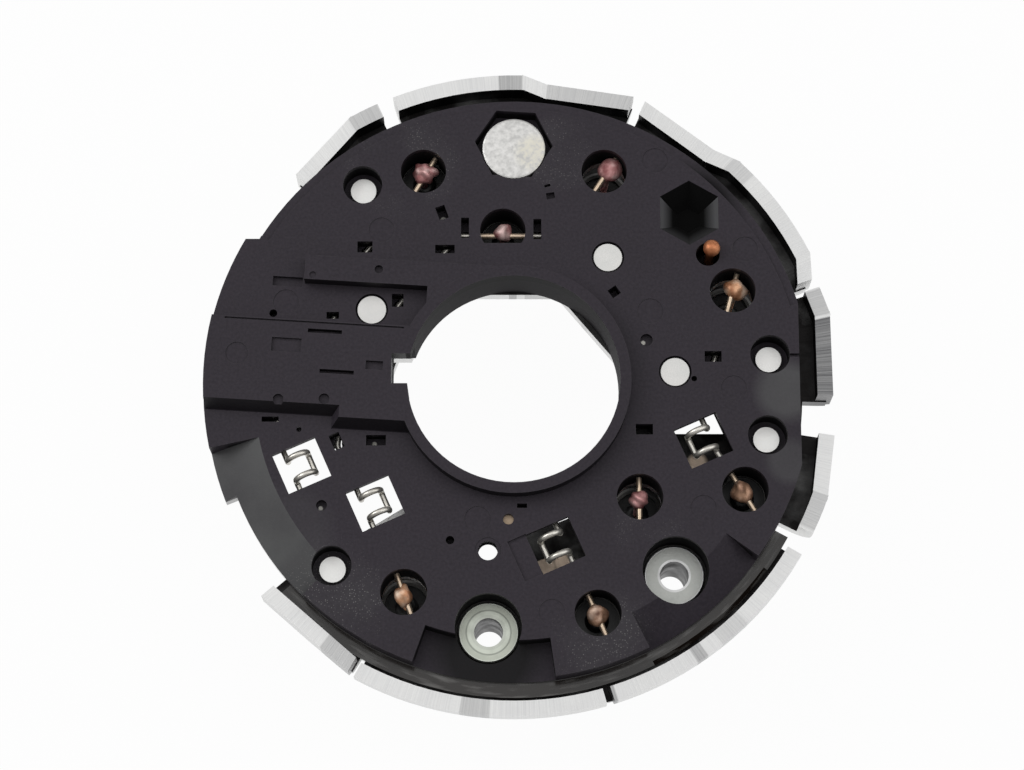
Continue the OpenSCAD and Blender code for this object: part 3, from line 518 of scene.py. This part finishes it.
sheetLook = {
    # colours
    "dark": (0.70, 0.70, 0.70),
    "pale": (0.88, 0.88, 0.87),
    "edge": (0.90, 0.90, 0.90),
    "tan": (0.66, 0.53, 0.42),
    "paintedShade": (0.018, 0.017, 0.017),
    "stain": (0.10, 0.10, 0.105),
    # surface
    "roughness": (0.34, 0.55),
    "bump": 0.25,
    "edgeWearAndHighlight": 0.7,
    "brushed": 0.6,             # share of the brush lines in the tone
    "boreShade": 0.94,           # share of the painted shade that stays in the bore
    # noise where an effect starts and is full, and its strength at each
    "tones": (0.32, 0.64),
    "streakTones": (0.7, 0.35, 0.7, 1.0),
    "shadeTones": (0.75, 0.45, 0.85, 1.0),
    "warmReflectionTones": (0.3, 0.6, 0.3, 0.9),
    # where an effect starts and is full
    "level": (0.6, 0.9),        # upward part of the normal
    "inward": (-0.5, -0.8),     # part of the normal that looks away from the axis
    "rim": (63.0, 64.0),        # mm from the axis to the gap in painted shade
    "bore": (25.5, 26.5),       # mm from the axis to where the sheet leaves the bore
    "covered": (18.5, 17.5),    # mm above the bushes' feet, under the plate
    # turn, half width in degrees and strength
    "stains": [(4.9, 8.2, 0.92), (16.0, 2.6, 0.35), (118.0, 3.0, 0.35), (90.6, 2.3, 0.5), (76.0, 8.0, 0.3),
               (44.7, 2.5, 0.2), (-23.0, 3.5, 0.3), (-56.0, 1.2, 0.5), (-49.0, 3.0, 0.2), (-72.8, 0.8, 0.6),
               (-96.7, 2.7, 0.35), (-122.5, 3.5, 0.35)],
    "stainBorder": 0.3,         # degrees
    # places and radii in mm, one with a strength
    "litCorner": [(-27.5, -28.5, 7.0, 0.97)],      # corner under a lead window, kept out of the painted shade where it catches light
    "warmReflection": [(7.0, -40.0, 3.0), (10.8, -38.8, 2.4), (41.1, -16.2, 2.6)],   # painted warm reflection on the floor under two lead windows
}


def paintStains(tree, lines, base, opts):
    # dull patches round the rim, streaked along the brush lines
    streaks = ramp(tree, lines["Lines"], *opts["streakTones"])
    for turn, half, strength in opts["stains"]:
        off = calc(tree, "ABSOLUTE", calc(tree, "SUBTRACT", lines["Turn"], math.radians(turn)))
        near = ramp(tree, off, math.radians(half), math.radians(half - opts["stainBorder"]), 0.0, strength)
        base = mixColour(tree, product(tree, near, streaks), base, opts["stain"])
    return base


def makeSheet(opts):
    mat, tree, bsdf = newMaterial("pressedAluminium")
    bsdf.inputs["Metallic"].default_value = 1.0
    lines = placeGroup(tree, radialGroup, Around=330.0, Outward=30.0)
    grain = placeGroup(tree, grainGroup, Fine=1500.0, Cloud=120.0)
    edge = placeGroup(tree, edgeGroup, Radius=0.00025, Break=400.0)
    tone = ramp(tree, blendOf(tree, lines["Lines"], grain["Tone"], opts["brushed"]), *opts["tones"])
    base = mixColour(tree, tone, opts["dark"], opts["pale"])
    base = mixColour(tree, product(tree, edge["Mask"], opts["edgeWearAndHighlight"]), base, opts["edge"])
    base = paintStains(tree, lines, base, opts)
    # painted shade: inner faces of the rim, and the upper faces under the plate, are darkened
    normal = trueNormal(tree)
    radius = calc(tree, "DIVIDE", lines["Radius"], mm)
    z = calc(tree, "DIVIDE", splitVector(tree, objectPoint(tree))[2], mm)
    spoke = calcVector(tree, "NORMALIZE", planPoint(tree))
    outward = calcVector(tree, "DOT_PRODUCT", normal, spoke, out="Value")
    rimFaces = product(tree, ramp(tree, outward, *opts["inward"]), ramp(tree, radius, *opts["rim"]))
    up = splitVector(tree, normal)[2]
    floors = product(tree, ramp(tree, up, *opts["level"]), ramp(tree, z, *opts["covered"]))
    paintedShade = product(tree, calc(tree, "MAXIMUM", rimFaces, floors),
                   ramp(tree, grain["Tone"], *opts["shadeTones"]),
                   ramp(tree, radius, *opts["bore"], opts["boreShade"], 1.0),
                   calc(tree, "SUBTRACT", 1.0, spotMask(tree, opts["litCorner"])))
    base = mixColour(tree, paintedShade, base, opts["paintedShade"])
    # painted reflection: warm light on the floor under two lead windows
    warmReflection = product(tree, spotMask(tree, opts["warmReflection"]), floors, ramp(tree, grain["Tone"], *opts["warmReflectionTones"]))
    feed(tree, bsdf.inputs["Base Color"], mixColour(tree, warmReflection, base, opts["tan"]))
    feed(tree, bsdf.inputs["Roughness"], ramp(tree, tone, 0.0, 1.0, *opts["roughness"]))
    bumpFrom(tree, bsdf, lines["Lines"], opts["bump"])
    return mat


# plain metals: tone from slow clouds and fine grain, paler on worn edges

leadNodes = ["%s_lead_%d" % (side, i) for side in ("positive", "negative") for i in range(1, 5)]
metalForm = {"tone": (0.35, 0.65), "edgeWearAndHighlight": 0.7, "heat": 0.8, "ring": 0.8, "steep": (0.5, 0.2)}
# heats are places and radii in mm; rings are inner and outer radius in mm and colour, round a named node
metalLooks = {
    "rivetAluminium": {"dark": (0.76, 0.76, 0.74), "pale": (0.88, 0.87, 0.85), "edge": (0.6, 0.6, 0.59),
                       "roughness": (0.5, 0.65), "cloud": 300.0, "bump": 0.08, "metallic": 0.8},
    # paler copy for the outer rivets: painted light against the shade of their deep seats
    "litDeepRivet": {"dark": (0.88, 0.88, 0.86), "pale": (0.96, 0.95, 0.93), "edge": (0.7, 0.7, 0.69),
                  "roughness": (0.38, 0.5), "cloud": 300.0, "bump": 0.08, "metallic": 0.9},
    "dullZinc": {"dark": (0.40, 0.41, 0.39), "pale": (0.60, 0.61, 0.58), "edge": (0.72, 0.74, 0.68),
                 "roughness": (0.36, 0.55), "cloud": 260.0, "bump": 0.1, "wall": (0.10, 0.10, 0.10),
                 "ringed": "mounting_bush_2",
                 "rings": [(3.0, 3.7, (0.78, 0.78, 0.78)), (6.3, 6.9, (0.72, 0.72, 0.73))]},
    "greenZinc": {"dark": (0.50, 0.53, 0.46), "pale": (0.68, 0.71, 0.62), "edge": (0.78, 0.82, 0.72),
                  "roughness": (0.36, 0.55), "cloud": 260.0, "bump": 0.1, "wall": (0.10, 0.10, 0.10),
                  "ringed": "mounting_bush_1",
                  "rings": [(3.0, 3.9, (0.66, 0.69, 0.62)), (3.9, 4.7, (0.74, 0.78, 0.69)),
                            (4.8, 5.1, (0.33, 0.35, 0.31)), (6.3, 6.9, (0.80, 0.83, 0.76))]},
    "tinnedWire": {"dark": (0.66, 0.63, 0.57), "pale": (0.90, 0.87, 0.80), "edge": (0.9, 0.88, 0.82),
                   "roughness": (0.25, 0.4), "cloud": 180.0, "bump": 0.05, "metallic": 0.8,
                   "heated": (0.78, 0.58, 0.40), "heats": [(*planCentre(node), 7.5) for node in leadNodes]},
    "copperPin": {"dark": (0.45, 0.14, 0.055), "pale": (0.84, 0.36, 0.17), "edge": (0.8, 0.4, 0.25),
                  "roughness": (0.32, 0.5), "cloud": 300.0, "bump": 0.08, "metallic": 0.6},
    # near-black nickel: painted shade for the cases deep in their windows
    "shadedNickelCase": {"dark": (0.04, 0.039, 0.038), "pale": (0.15, 0.145, 0.14), "edge": (0.10, 0.10, 0.095),
                   "roughness": (0.4, 0.55), "cloud": 200.0, "bump": 0.08},
}


def makeMetal(name, form=metalForm):
    opts = metalLooks[name]
    mat, tree, bsdf = newMaterial(name)
    bsdf.inputs["Metallic"].default_value = opts.get("metallic", 1.0)
    grain = placeGroup(tree, grainGroup, Fine=2600.0, Cloud=opts["cloud"])
    edge = placeGroup(tree, edgeGroup, Radius=0.0002, Break=500.0)
    tone = ramp(tree, grain["Tone"], *form["tone"])
    base = mixColour(tree, tone, opts["dark"], opts["pale"])
    base = mixColour(tree, product(tree, edge["Mask"], form["edgeWearAndHighlight"]), base, opts["edge"])
    if "heats" in opts:
        heat = product(tree, spotMask(tree, opts["heats"]), form["heat"])
        base = mixColour(tree, heat, base, opts["heated"])
    for inner, outer, colour in opts.get("rings", []):
        ring = ringMask(tree, planCentre(opts["ringed"]), inner, outer)
        base = mixColour(tree, product(tree, ring, form["ring"]), base, colour)
    # painted shade on steep faces, the walls of the bushes' bores
    if "wall" in opts:
        steep = ramp(tree, splitVector(tree, trueNormal(tree))[2], *form["steep"])
        base = mixColour(tree, steep, base, opts["wall"])
    feed(tree, bsdf.inputs["Base Color"], base)
    feed(tree, bsdf.inputs["Roughness"], ramp(tree, tone, 0.0, 1.0, *opts["roughness"]))
    bumpFrom(tree, bsdf, grain["Height"], opts["bump"])
    return mat


# dark resin and nylon, with slow clouds

darkLooks = {
    "darkNylon": {"dark": (0.030, 0.029, 0.028), "pale": (0.050, 0.048, 0.046), "roughness": (0.5, 0.62)},
    "blackResin": {"dark": (0.006, 0.006, 0.006), "pale": (0.012, 0.011, 0.011), "roughness": (0.32, 0.44)},
}


def makeDark(name, bump=0.08):
    opts = darkLooks[name]
    mat, tree, bsdf = newMaterial(name)
    grain = placeGroup(tree, grainGroup, Fine=2500.0, Cloud=120.0)
    feed(tree, bsdf.inputs["Base Color"], mixColour(tree, grain["Tone"], opts["dark"], opts["pale"]))
    feed(tree, bsdf.inputs["Roughness"], ramp(tree, grain["Tone"], *midTones, *opts["roughness"]))
    bumpFrom(tree, bsdf, grain["Height"], bump)
    return mat


# a finish for each of the record's slots, and for two nodes that differ from theirs

finishes = {
    "moulding": makeMoulding(mouldingLook),
    "sink_sheet": makeSheet(sheetLook),
    "diode_case": makeMetal("shadedNickelCase"),
    "copper": makeMetal("copperPin"),
    "tinned_wire": makeMetal("tinnedWire"),
    "zinc_plate": makeMetal("dullZinc"),
    "rivet_aluminium": makeMetal("rivetAluminium"),
    "spacer_nylon": makeDark("darkNylon"),
}
ownFinishes = {"outer_rivets": makeMetal("litDeepRivet"), "mounting_bush_1": makeMetal("greenZinc")}


def dressNodes():
    for part in frame["record"]["subparts"]:
        mesh = nodes[part["node"]].data
        mesh.materials.clear()
        mesh.materials.append(ownFinishes.get(part["node"], finishes[part["material_slot"]]))


dressNodes()
print("finishes on", len(nodes), "nodes")


# new pieces

poleRadius = 0.3                # mm, of the first and last rings of a turned profile


def smoothFaces(mesh):
    mesh.polygons.foreach_set("use_smooth", np.ones(len(mesh.polygons), dtype=bool))


def revolve(name, points, mats, faceMats=None, sharp=35.0):
    # a closed surface from rings of points: array rows are rings, each ring closes on itself,
    # and the first and last rings are drawn together to a point each
    rows, cols = points.shape[:2]
    index = np.arange(rows * cols).reshape(rows, cols)
    right = np.roll(index, -1, axis=1)
    quads = np.stack([index[:-1], right[:-1], right[1:], index[1:]], -1).reshape(-1, 4)
    bottom, top = rows * cols, rows * cols + 1
    low = np.stack([right[0], index[0], np.full(cols, bottom)], -1)
    high = np.stack([index[-1], right[-1], np.full(cols, top)], -1)
    flat = np.vstack([points.reshape(-1, 3), points[0].mean(0), points[-1].mean(0)])
    mesh = bpy.data.meshes.new(name)
    mesh.from_pydata(flat.tolist(), [], quads.tolist() + low.tolist() + high.tolist())
    smoothFaces(mesh)
    for mat in mats:
        mesh.materials.append(mat)
    if faceMats is not None:
        rowMats = np.repeat(np.asarray(faceMats), cols)
        ends = np.repeat([faceMats[0], faceMats[-1]], cols)
        mesh.polygons.foreach_set("material_index", np.concatenate([rowMats, ends]).astype(np.int32))
    mesh.set_sharp_from_angle(angle=math.radians(sharp))
    mesh.update()
    return addObject(name, mesh)


def standFor(piece, node):
    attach(piece, "root")
    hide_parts(node)


def sampleProfile(corners, step):
    # points along a profile of straight lengths, no further apart than the step
    pts = []
    for a, b in zip(corners[:-1], corners[1:]):
        count = max(1, int(math.ceil(np.linalg.norm(np.subtract(b, a)) / step)))
        pts.append(np.linspace(a, b, count, endpoint=False))
    pts.append(np.array([corners[-1]]))
    return np.vstack(pts)


def middle(node):
    low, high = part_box(node)
    return (low + high) / 2, low, high


# terminal plate: its spare six-sided pocket stands open at the face

pocketSet = {
    "across": 13.2,             # mm between two sides
    "turn": 30.0,               # degrees to the first corner
    "slack": 1e-3,              # mm by which triangles meet the outline, or lie off the face
    "snap": 1e-4,               # mm within which the fill's points are one
    "digits": 4,                # decimals of a mm to which points are merged
}


def readTriangles(mesh):
    # corner points in mm and corner normals: array rows are triangles
    corners = np.empty(len(mesh.loops), dtype=np.int32)
    mesh.loops.foreach_get("vertex_index", corners)
    places = np.empty(len(mesh.vertices) * 3)
    mesh.vertices.foreach_get("co", places)
    normals = np.empty(len(mesh.loops) * 3)
    mesh.corner_normals.foreach_get("vector", normals)
    return places.reshape(-1, 3)[corners].reshape(-1, 3, 3) / mm, normals.reshape(-1, 3, 3)


def mergePoints(triangles, digits):
    # the points that differ, and each triangle's three places among them
    points = triangles.reshape(-1, triangles.shape[-1]).round(digits)
    spots, index = np.unique(points, axis=0, return_inverse=True)
    return spots, index.reshape(-1, 3)


def sideNormals(outlines):
    # a quarter turn to the left from each side of a flat outline
    sides = np.roll(outlines, -1, axis=-2) - outlines
    return np.stack([-sides[..., 1], sides[..., 0]], -1)


def meetOutline(flat, outline, slack):
    # two flat outlines meet where their shadows meet across every side of both
    across = np.broadcast_to(sideNormals(outline), (len(flat), *outline.shape))
    axes = np.concatenate([sideNormals(flat), across], axis=1)
    shadow = np.einsum("nkj,nij->nki", axes, flat)
    other = np.einsum("nkj,ij->nki", axes, outline)
    meets = (shadow.max(-1) > other.min(-1) + slack) & (shadow.min(-1) < other.max(-1) - slack)
    return meets.all(-1)


def areInside(spots, outlines):
    # a spot is inside an outline where it lies to the left of all its sides
    toward = spots[:, None, None] - outlines
    return ((sideNormals(outlines) * toward).sum(-1) > 0).all(-1).any(-1)


def fillBetween(lid, outline, opts):
    # flat triangles from the border of the lid, the sides that belong to one triangle alone, to the outline
    spots, index = mergePoints(lid, opts["digits"])
    edges = np.sort(np.stack([index, np.roll(index, -1, axis=1)], -1).reshape(-1, 2), axis=1)
    edges, times = np.unique(edges, axis=0, return_counts=True)
    ring = len(spots) + np.arange(len(outline))
    edges = np.vstack([edges[times == 1], np.stack([ring, np.roll(ring, -1)], -1)])
    known = [Vector(p) for p in np.vstack([spots, outline]).tolist()]
    made = delaunay_2d_cdt(known, edges.tolist(), [], 0, opts["snap"])
    fill = np.array([tuple(p) for p in made[0]])[np.array(made[2])]
    mids = fill.mean(1)
    return fill[areInside(mids, lid) & ~areInside(mids, outline[None])]


def openPocket(node, opts):
    # a copy of the node's triangles, less those of the face that lie over a hexagon;
    # the face is filled again from their outline to the hexagon's sides
    points, normals = readTriangles(nodes[node].data)
    flat, face = points[..., :2], faceZ / mm
    spokes = np.radians(opts["turn"]) + np.arange(6) * np.pi / 3
    corners = np.stack([np.cos(spokes), np.sin(spokes)], -1) * opts["across"] / math.sqrt(3)
    hexagon = corners + plateSet["pocket"]
    level = np.abs(points[..., 2] - face).max(-1) < opts["slack"]
    over = meetOutline(flat, hexagon, opts["slack"]) & level
    fill = fillBetween(flat[over & (normals[:, 0, 2] > 0)], hexagon, opts)
    fill = np.concatenate([fill, np.full((len(fill), 3, 1), face)], -1)
    points = np.concatenate([points[~over], fill])
    normals = np.concatenate([normals[~over], np.broadcast_to([0.0, 0.0, 1.0], fill.shape)])
    spots, index = mergePoints(points, opts["digits"])
    whole = (index != np.roll(index, -1, axis=1)).all(-1)
    mesh = bpy.data.meshes.new(node + "_open")
    mesh.from_pydata((spots * mm).tolist(), [], index[whole].tolist())
    smoothFaces(mesh)
    mesh.normals_split_custom_set(normals[whole].reshape(-1, 3).tolist())
    mesh.materials.append(finishes["moulding"])
    standFor(addObject(node + "_open", mesh), node)
    print("pocket opened:", int(over.sum()), "triangles out,", len(fill), "in")


openPocket("terminal_plate", pocketSet)


# press-fit diodes: a knurled cup, filled with black resin

diodeSet = {
    "teeth": 56,
    "perTooth": 4,              # points round the cup
    # sizes in mm
    "knurl": 0.22,              # depth of the teeth
    "plain": 0.3,               # between each lip and the teeth
    "lip": 0.7,
    "wall": 1.4,
    "fill": 0.9,                # from the cup's edge down to the resin
    "mound": 1.7,               # radius of the resin's top round the lead
    "moundFoot": 2.7,           # radius at the mound's foot
    "moundEdge": 0.1,           # from the cup's edge down to the mound's
    "step": 1.2,                # between rings of points
}


def makeDiode(node, opts):
    # radius of the profile, less a cosine of the turn on the length that is knurled
    centre, low, high = middle(node)
    r = (high.x - low.x) / 2 / mm
    h = (high.z - low.z) / mm
    lip, inner, resin = opts["lip"], r - opts["wall"], h - opts["fill"]
    corners = [(poleRadius, 0), (r - lip, 0), (r, lip), (r, h - lip), (r - lip, h), (inner, h),
               (inner, resin), (opts["moundFoot"], resin), (opts["mound"], h - opts["moundEdge"]),
               (poleRadius, h)]
    profile = sampleProfile(corners, opts["step"])
    turn = np.linspace(0, 2 * np.pi, opts["teeth"] * opts["perTooth"], endpoint=False)
    margin = lip + opts["plain"]
    wall = np.isclose(profile[:, 0], r) & (profile[:, 1] > margin) & (profile[:, 1] < h - margin)
    radius = profile[:, :1] - wall[:, None] * opts["knurl"] * (0.5 - 0.5 * np.cos(opts["teeth"] * turn))
    z = np.broadcast_to(profile[:, 1:], radius.shape)
    points = np.stack([radius * np.cos(turn), radius * np.sin(turn), z], -1) * mm
    points += np.array([centre.x, centre.y, low.z])
    brink = np.argmax(np.isclose(profile[:, 0], inner) & np.isclose(profile[:, 1], h))
    filled = np.arange(len(profile) - 1) >= brink
    piece = revolve(node + "_case", points, [finishes["diode_case"], blackResin], filled.astype(int))
    standFor(piece, node)


blackResin = makeDark("blackResin")
for i in range(1, 5):
    makeDiode("positive_diode_%d" % i, diodeSet)
    makeDiode("negative_diode_%d" % i, diodeSet)
print("diodes made")


# head leads: a thin stem that ends in a lumpy weld round the wire

# dark, pale and highlight colour, the last for a painted sheen
weldTints = {
    "pink": ((0.34, 0.12, 0.12), (0.72, 0.38, 0.37), (0.84, 0.60, 0.57)),
    "orange": ((0.44, 0.17, 0.08), (0.90, 0.50, 0.29), (0.95, 0.74, 0.58)),
    "brown": ((0.20, 0.10, 0.065), (0.58, 0.34, 0.22), (0.76, 0.56, 0.44)),
}
weldLook = {
    "metallic": 0.35,
    "tone": (0.36, 0.62),
    "sheen": (0.5, 0.66),
    "sheenScale": 260.0,        # painted sheen patches to a metre
    "roughness": (0.6, 0.4),
    "bump": 0.4,
}
# node: tint, wire's direction in degrees, sizes along, across and up, lean in mm, seed
leadSet = {
    "positive_lead_1": ("pink", 60, (1.10, 1.16, 1.05), (0.2, 0.9), 3),
    "positive_lead_2": ("pink", 0, (0.92, 0.98, 1.0), (0.0, 0.8), 5),
    "positive_lead_3": ("brown", -59, (1.15, 1.0, 0.95), (-0.3, 0.3), 8),
    "positive_lead_4": ("brown", -66, (1.2, 0.98, 0.95), (0.1, 0.3), 12),
    "negative_lead_1": ("pink", 57, (1.36, 1.18, 1.0), (1.1, 2.1), 7),
    "negative_lead_2": ("orange", 75, (1.05, 1.25, 0.92), (1.1, 1.6), 11),
    "negative_lead_3": ("pink", 270, (0.95, 1.0, 1.0), (0.0, 0.2), 2),
    "negative_lead_4": ("orange", 290, (1.1, 1.0, 1.0), (-0.2, -0.1), 9),
}
weldForm = {
    "rows": 40,
    "cols": 48,
    "waves": 5,
    "pace": 2.3,                # of the waves over the ball
    "lumps": 0.374,             # height of the waves, as a share of the radius
    "stem": 0.8,                # mm, the stem's radius
    "stemRows": 6,
    "sunk": 0.4,                # mm of the stem inside the ball
    "neck": 1.15,               # the ball starts where it is this much wider than the stem
}


def makeWeldMetal(tint, look):
    dark, pale, highlightTint = weldTints[tint]
    mat, tree, bsdf = newMaterial("weld_" + tint)
    bsdf.inputs["Metallic"].default_value = look["metallic"]
    grain = placeGroup(tree, grainGroup, Fine=1800.0, Cloud=420.0)
    tone = ramp(tree, grain["Tone"], *look["tone"])
    base = mixColour(tree, tone, dark, pale)
    # painted sheen: pale patches of the highlight tint
    sheen = ramp(tree, noise(tree, objectPoint(tree), look["sheenScale"], 2.0), *look["sheen"])
    feed(tree, bsdf.inputs["Base Color"], mixColour(tree, sheen, base, highlightTint))
    feed(tree, bsdf.inputs["Roughness"], ramp(tree, tone, 0.0, 1.0, *look["roughness"]))
    bumpFrom(tree, bsdf, grain["Height"], look["bump"])
    return mat


weldMetals = {tint: makeWeldMetal(tint, weldLook) for tint in weldTints}


def makeLead(node, row, form):
    # a ball whose radius takes a few slow waves of its direction, stretched along the wire,
    # with the lower rows drawn down into a straight stem
    tint, turnDeg, sizes, lean, seed = row
    centre, low, high = middle(node)
    r = (high.x - low.x) / 2 / mm
    rng = np.random.default_rng(seed)
    v = np.linspace(-0.5 * np.pi, 0.5 * np.pi, form["rows"])[1:-1, None]
    u = np.linspace(0, 2 * np.pi, form["cols"], endpoint=False)[None]
    direction = np.stack([np.cos(v) * np.cos(u), np.cos(v) * np.sin(u), np.sin(v) + 0 * u], -1)
    waves = rng.normal(size=(form["waves"], 3)) * form["pace"]
    phases = rng.uniform(0, 2 * np.pi, form["waves"])
    lumps = np.sin(direction @ waves.T + phases).mean(-1)
    ball = direction * (r * (1 + form["lumps"] * lumps))[..., None] * np.array(sizes)
    t = math.radians(turnDeg)
    spin = np.array([[math.cos(t), math.sin(t), 0], [-math.sin(t), math.cos(t), 0], [0, 0, 1]])
    ball = ball @ spin + np.array([*lean, high.z / mm - r])
    ring = np.stack([np.cos(u), np.sin(u), 0 * u], -1) * form["stem"]
    share = np.linspace(0, 1, form["stemRows"])[:, None, None]
    foot, head = low.z / mm, ball[0, :, 2].mean() + form["sunk"]
    stem = ring + np.array([0, 0, foot]) + share * np.array([*lean, head - foot])
    wide = np.linalg.norm(ball[..., :2] - np.array(lean), axis=-1).mean(1) > form["stem"] * form["neck"]
    keep = wide | (np.arange(len(ball)) > len(ball) // 2)
    points = np.concatenate([stem, ball[keep]]) * mm
    points += np.array([centre.x, centre.y, 0])
    piece = revolve(node + "_weld", points, [weldMetals[tint]], sharp=80.0)
    standFor(piece, node)


for node, row in leadSet.items():
    makeLead(node, row, weldForm)
print("welds made")


# battery stud: round head with a mottled zinc coat, threaded shank

# sizes in mm, heights above the bushes' feet
studSet = {
    "thread": 8.0,
    "pitch": 1.25,
    "depth": 0.72,
    "threadTop": -3.2,
    "runOut": (0.1, 0.4),       # left plain at the thread's lower and upper end
    "chamfer": 1.0,
    "groove": 0.6,              # depth of the relief over the thread
    "grooveTop": -1.5,
    "grooveSlopes": (0.3, 0.2),     # height of the groove's lower and upper end
    "neck": 9.0,
    "neckFoot": 13.0,
    "headHeight": 4.6,
    "edge": 0.45,               # rounding of the head
    "edgeMiddle": 0.13,         # in and down to the middle of the rounding
    "edgeTop": 0.02,            # down to its upper end
    "flat": 0.6,                # share of the head's radius that is flat
    "perPitch": 10,             # rings of points to a pitch
    "cols": 72,
}
studLook = {
    "dark": (0.68, 0.675, 0.66),
    "pale": (0.84, 0.83, 0.81),
    "yellow": (0.80, 0.76, 0.62),
    "tone": (0.34, 0.66),
    "roughness": (0.62, 0.42),
    "bump": 0.22,
    "patch": [(4.6, 54.0, 5.0, 0.6)],
    "patchTone": (0.35, 0.6),
}


def makeStudMetal(opts):
    mat, tree, bsdf = newMaterial("mottledZinc")
    bsdf.inputs["Metallic"].default_value = 1.0
    grain = placeGroup(tree, grainGroup, Fine=900.0, Cloud=1000.0)
    tone = ramp(tree, grain["Tone"], *opts["tone"])
    base = mixColour(tree, tone, opts["dark"], opts["pale"])
    patch = product(tree, spotMask(tree, opts["patch"]), ramp(tree, grain["Tone"], *opts["patchTone"]))
    feed(tree, bsdf.inputs["Base Color"], mixColour(tree, patch, base, opts["yellow"]))
    feed(tree, bsdf.inputs["Roughness"], ramp(tree, tone, 0.0, 1.0, *opts["roughness"]))
    bumpFrom(tree, bsdf, grain["Tone"], opts["bump"])
    return mat


def studProfile(opts, base, top, head):
    # radius and height of the stud's outline, from the middle of its foot to the middle of its head
    r, neck = opts["thread"] / 2, opts["neck"] / 2
    core, headFoot = r - opts["groove"], top - opts["headHeight"]
    lower, upper = opts["grooveSlopes"]
    shank = [(poleRadius, base), (r - opts["chamfer"], base), (r, base + opts["chamfer"]),
             (r, opts["threadTop"]), (core, opts["threadTop"] + lower), (core, opts["grooveTop"] - upper),
             (r, opts["grooveTop"]), (r, opts["neckFoot"]), (neck, opts["neckFoot"]), (neck, headFoot)]
    return shank + [(head, headFoot), (head, top - opts["edge"]),
                    (head - opts["edgeMiddle"], top - opts["edgeMiddle"]),
                    (head - opts["edge"], top - opts["edgeTop"]), (head * opts["flat"], top),
                    (poleRadius, top)]


def makeStud(node, opts):
    # radius of the profile, less a triangle wave of height over pitch and turn on the threaded length
    centre, low, high = middle(node)
    base, r, depth = low.z / mm, opts["thread"] / 2, opts["depth"]
    corners = studProfile(opts, base, high.z / mm, (high.x - low.x) / 2 / mm)
    profile = sampleProfile(corners, opts["pitch"] / opts["perPitch"])
    turn = np.linspace(0, 2 * np.pi, opts["cols"], endpoint=False)
    z = np.broadcast_to(profile[:, 1:], (len(profile), len(turn)))
    wave = np.abs(((z / opts["pitch"] - turn / (2 * np.pi)) % 1.0) * 2 - 1)
    start, end = opts["runOut"]
    threaded = (profile[:, 1] > base + start) & (profile[:, 1] < opts["threadTop"] - end)
    limit = np.minimum(1.0, np.maximum(0.0, profile[:, 0] - r + depth) / depth)
    radius = profile[:, :1] - (threaded * limit)[:, None] * depth * wave
    points = np.stack([radius * np.cos(turn), radius * np.sin(turn), z], -1) * mm
    points += np.array([centre.x, centre.y, 0])
    piece = revolve(node + "_threaded", points, [makeStudMetal(studLook)], sharp=32.0)
    standFor(piece, node)


makeStud("battery_stud", studSet)
print("stud made")


# floor, lamps and world

stageSet = {
    "half": 1.5,                # m from the axis to the floor's sides
    "drop": 0.3,                # mm under the part
    "white": 0.96,              # share of plain white that the camera sees on the floor
    "paint": (0.88, 0.88, 0.88),
    "roughness": 0.9,
    "sky": 0.25,                # strength of the world's light
}
# name: place in m, size in m, power in W
lampSet = {
    "overheadBox": ((0.0, 0.22, 0.95), 1.3, 3.6),
    "leftBox": ((-0.75, 0.25, 0.65), 0.6, 3.0),
    "rightBox": ((0.75, 0.05, 0.6), 0.7, 1.6),
}
plainWhite = (1.0, 1.0, 1.0)


def mixShaders(tree, factor, a, b, out):
    mix = addNode(tree, "ShaderNodeMixShader")
    feed(tree, mix.inputs[0], factor)
    tree.links.new(a.outputs[0], mix.inputs[1])
    tree.links.new(b.outputs[0], mix.inputs[2])
    tree.links.new(mix.outputs[0], out.inputs["Surface"])


def makeFloor(opts):
    z = cadBox[0][2] - opts["drop"] * mm
    h = opts["half"]
    mesh = bpy.data.meshes.new("paleFloor")
    mesh.from_pydata([(-h, -h, z), (h, -h, z), (h, h, z), (-h, h, z)], [], [(0, 1, 2, 3)])
    mat, tree, bsdf = newMaterial("paleFloor")
    feed(tree, bsdf.inputs["Base Color"], opts["paint"])
    bsdf.inputs["Roughness"].default_value = opts["roughness"]
    path = addNode(tree, "ShaderNodeLightPath").outputs
    seen = calc(tree, "ADD", path["Is Camera Ray"], path["Is Glossy Ray"])
    seen = calc(tree, "ADD", seen, path["Is Transmission Ray"], clamp=True)
    glow = addNode(tree, "ShaderNodeEmission")
    feed(tree, glow.inputs["Color"], plainWhite)
    mixShaders(tree, calc(tree, "MULTIPLY", seen, opts["white"]), bsdf, glow, tree.nodes["Material Output"])
    mesh.materials.append(mat)
    addObject("paleFloor", mesh)


def makeLamps(rows):
    for name, (place, size, power) in rows.items():
        data = bpy.data.lights.new(name, "AREA")
        data.size = size
        data.energy = power
        lamp = addObject(name, data)
        lamp.location = place
        aim(lamp, -Vector(place))


def makeWorld(strength):
    world = bpy.data.worlds.new("studio")
    bpy.context.scene.world = world
    world.use_nodes = True
    tree = world.node_tree
    tree.nodes.clear()
    path = addNode(tree, "ShaderNodeLightPath").outputs
    seen = calc(tree, "ADD", path["Is Camera Ray"], path["Is Transmission Ray"], clamp=True)
    soft = addNode(tree, "ShaderNodeBackground")
    soft.inputs["Strength"].default_value = strength
    white = addNode(tree, "ShaderNodeBackground")
    for node in (soft, white):
        feed(tree, node.inputs["Color"], plainWhite)
    mixShaders(tree, seen, soft, white, addNode(tree, "ShaderNodeOutputWorld"))


makeFloor(stageSet)
makeLamps(lampSet)
makeWorld(stageSet["sky"])
bpy.context.scene.view_settings.view_transform = "Standard"
print("stage set")
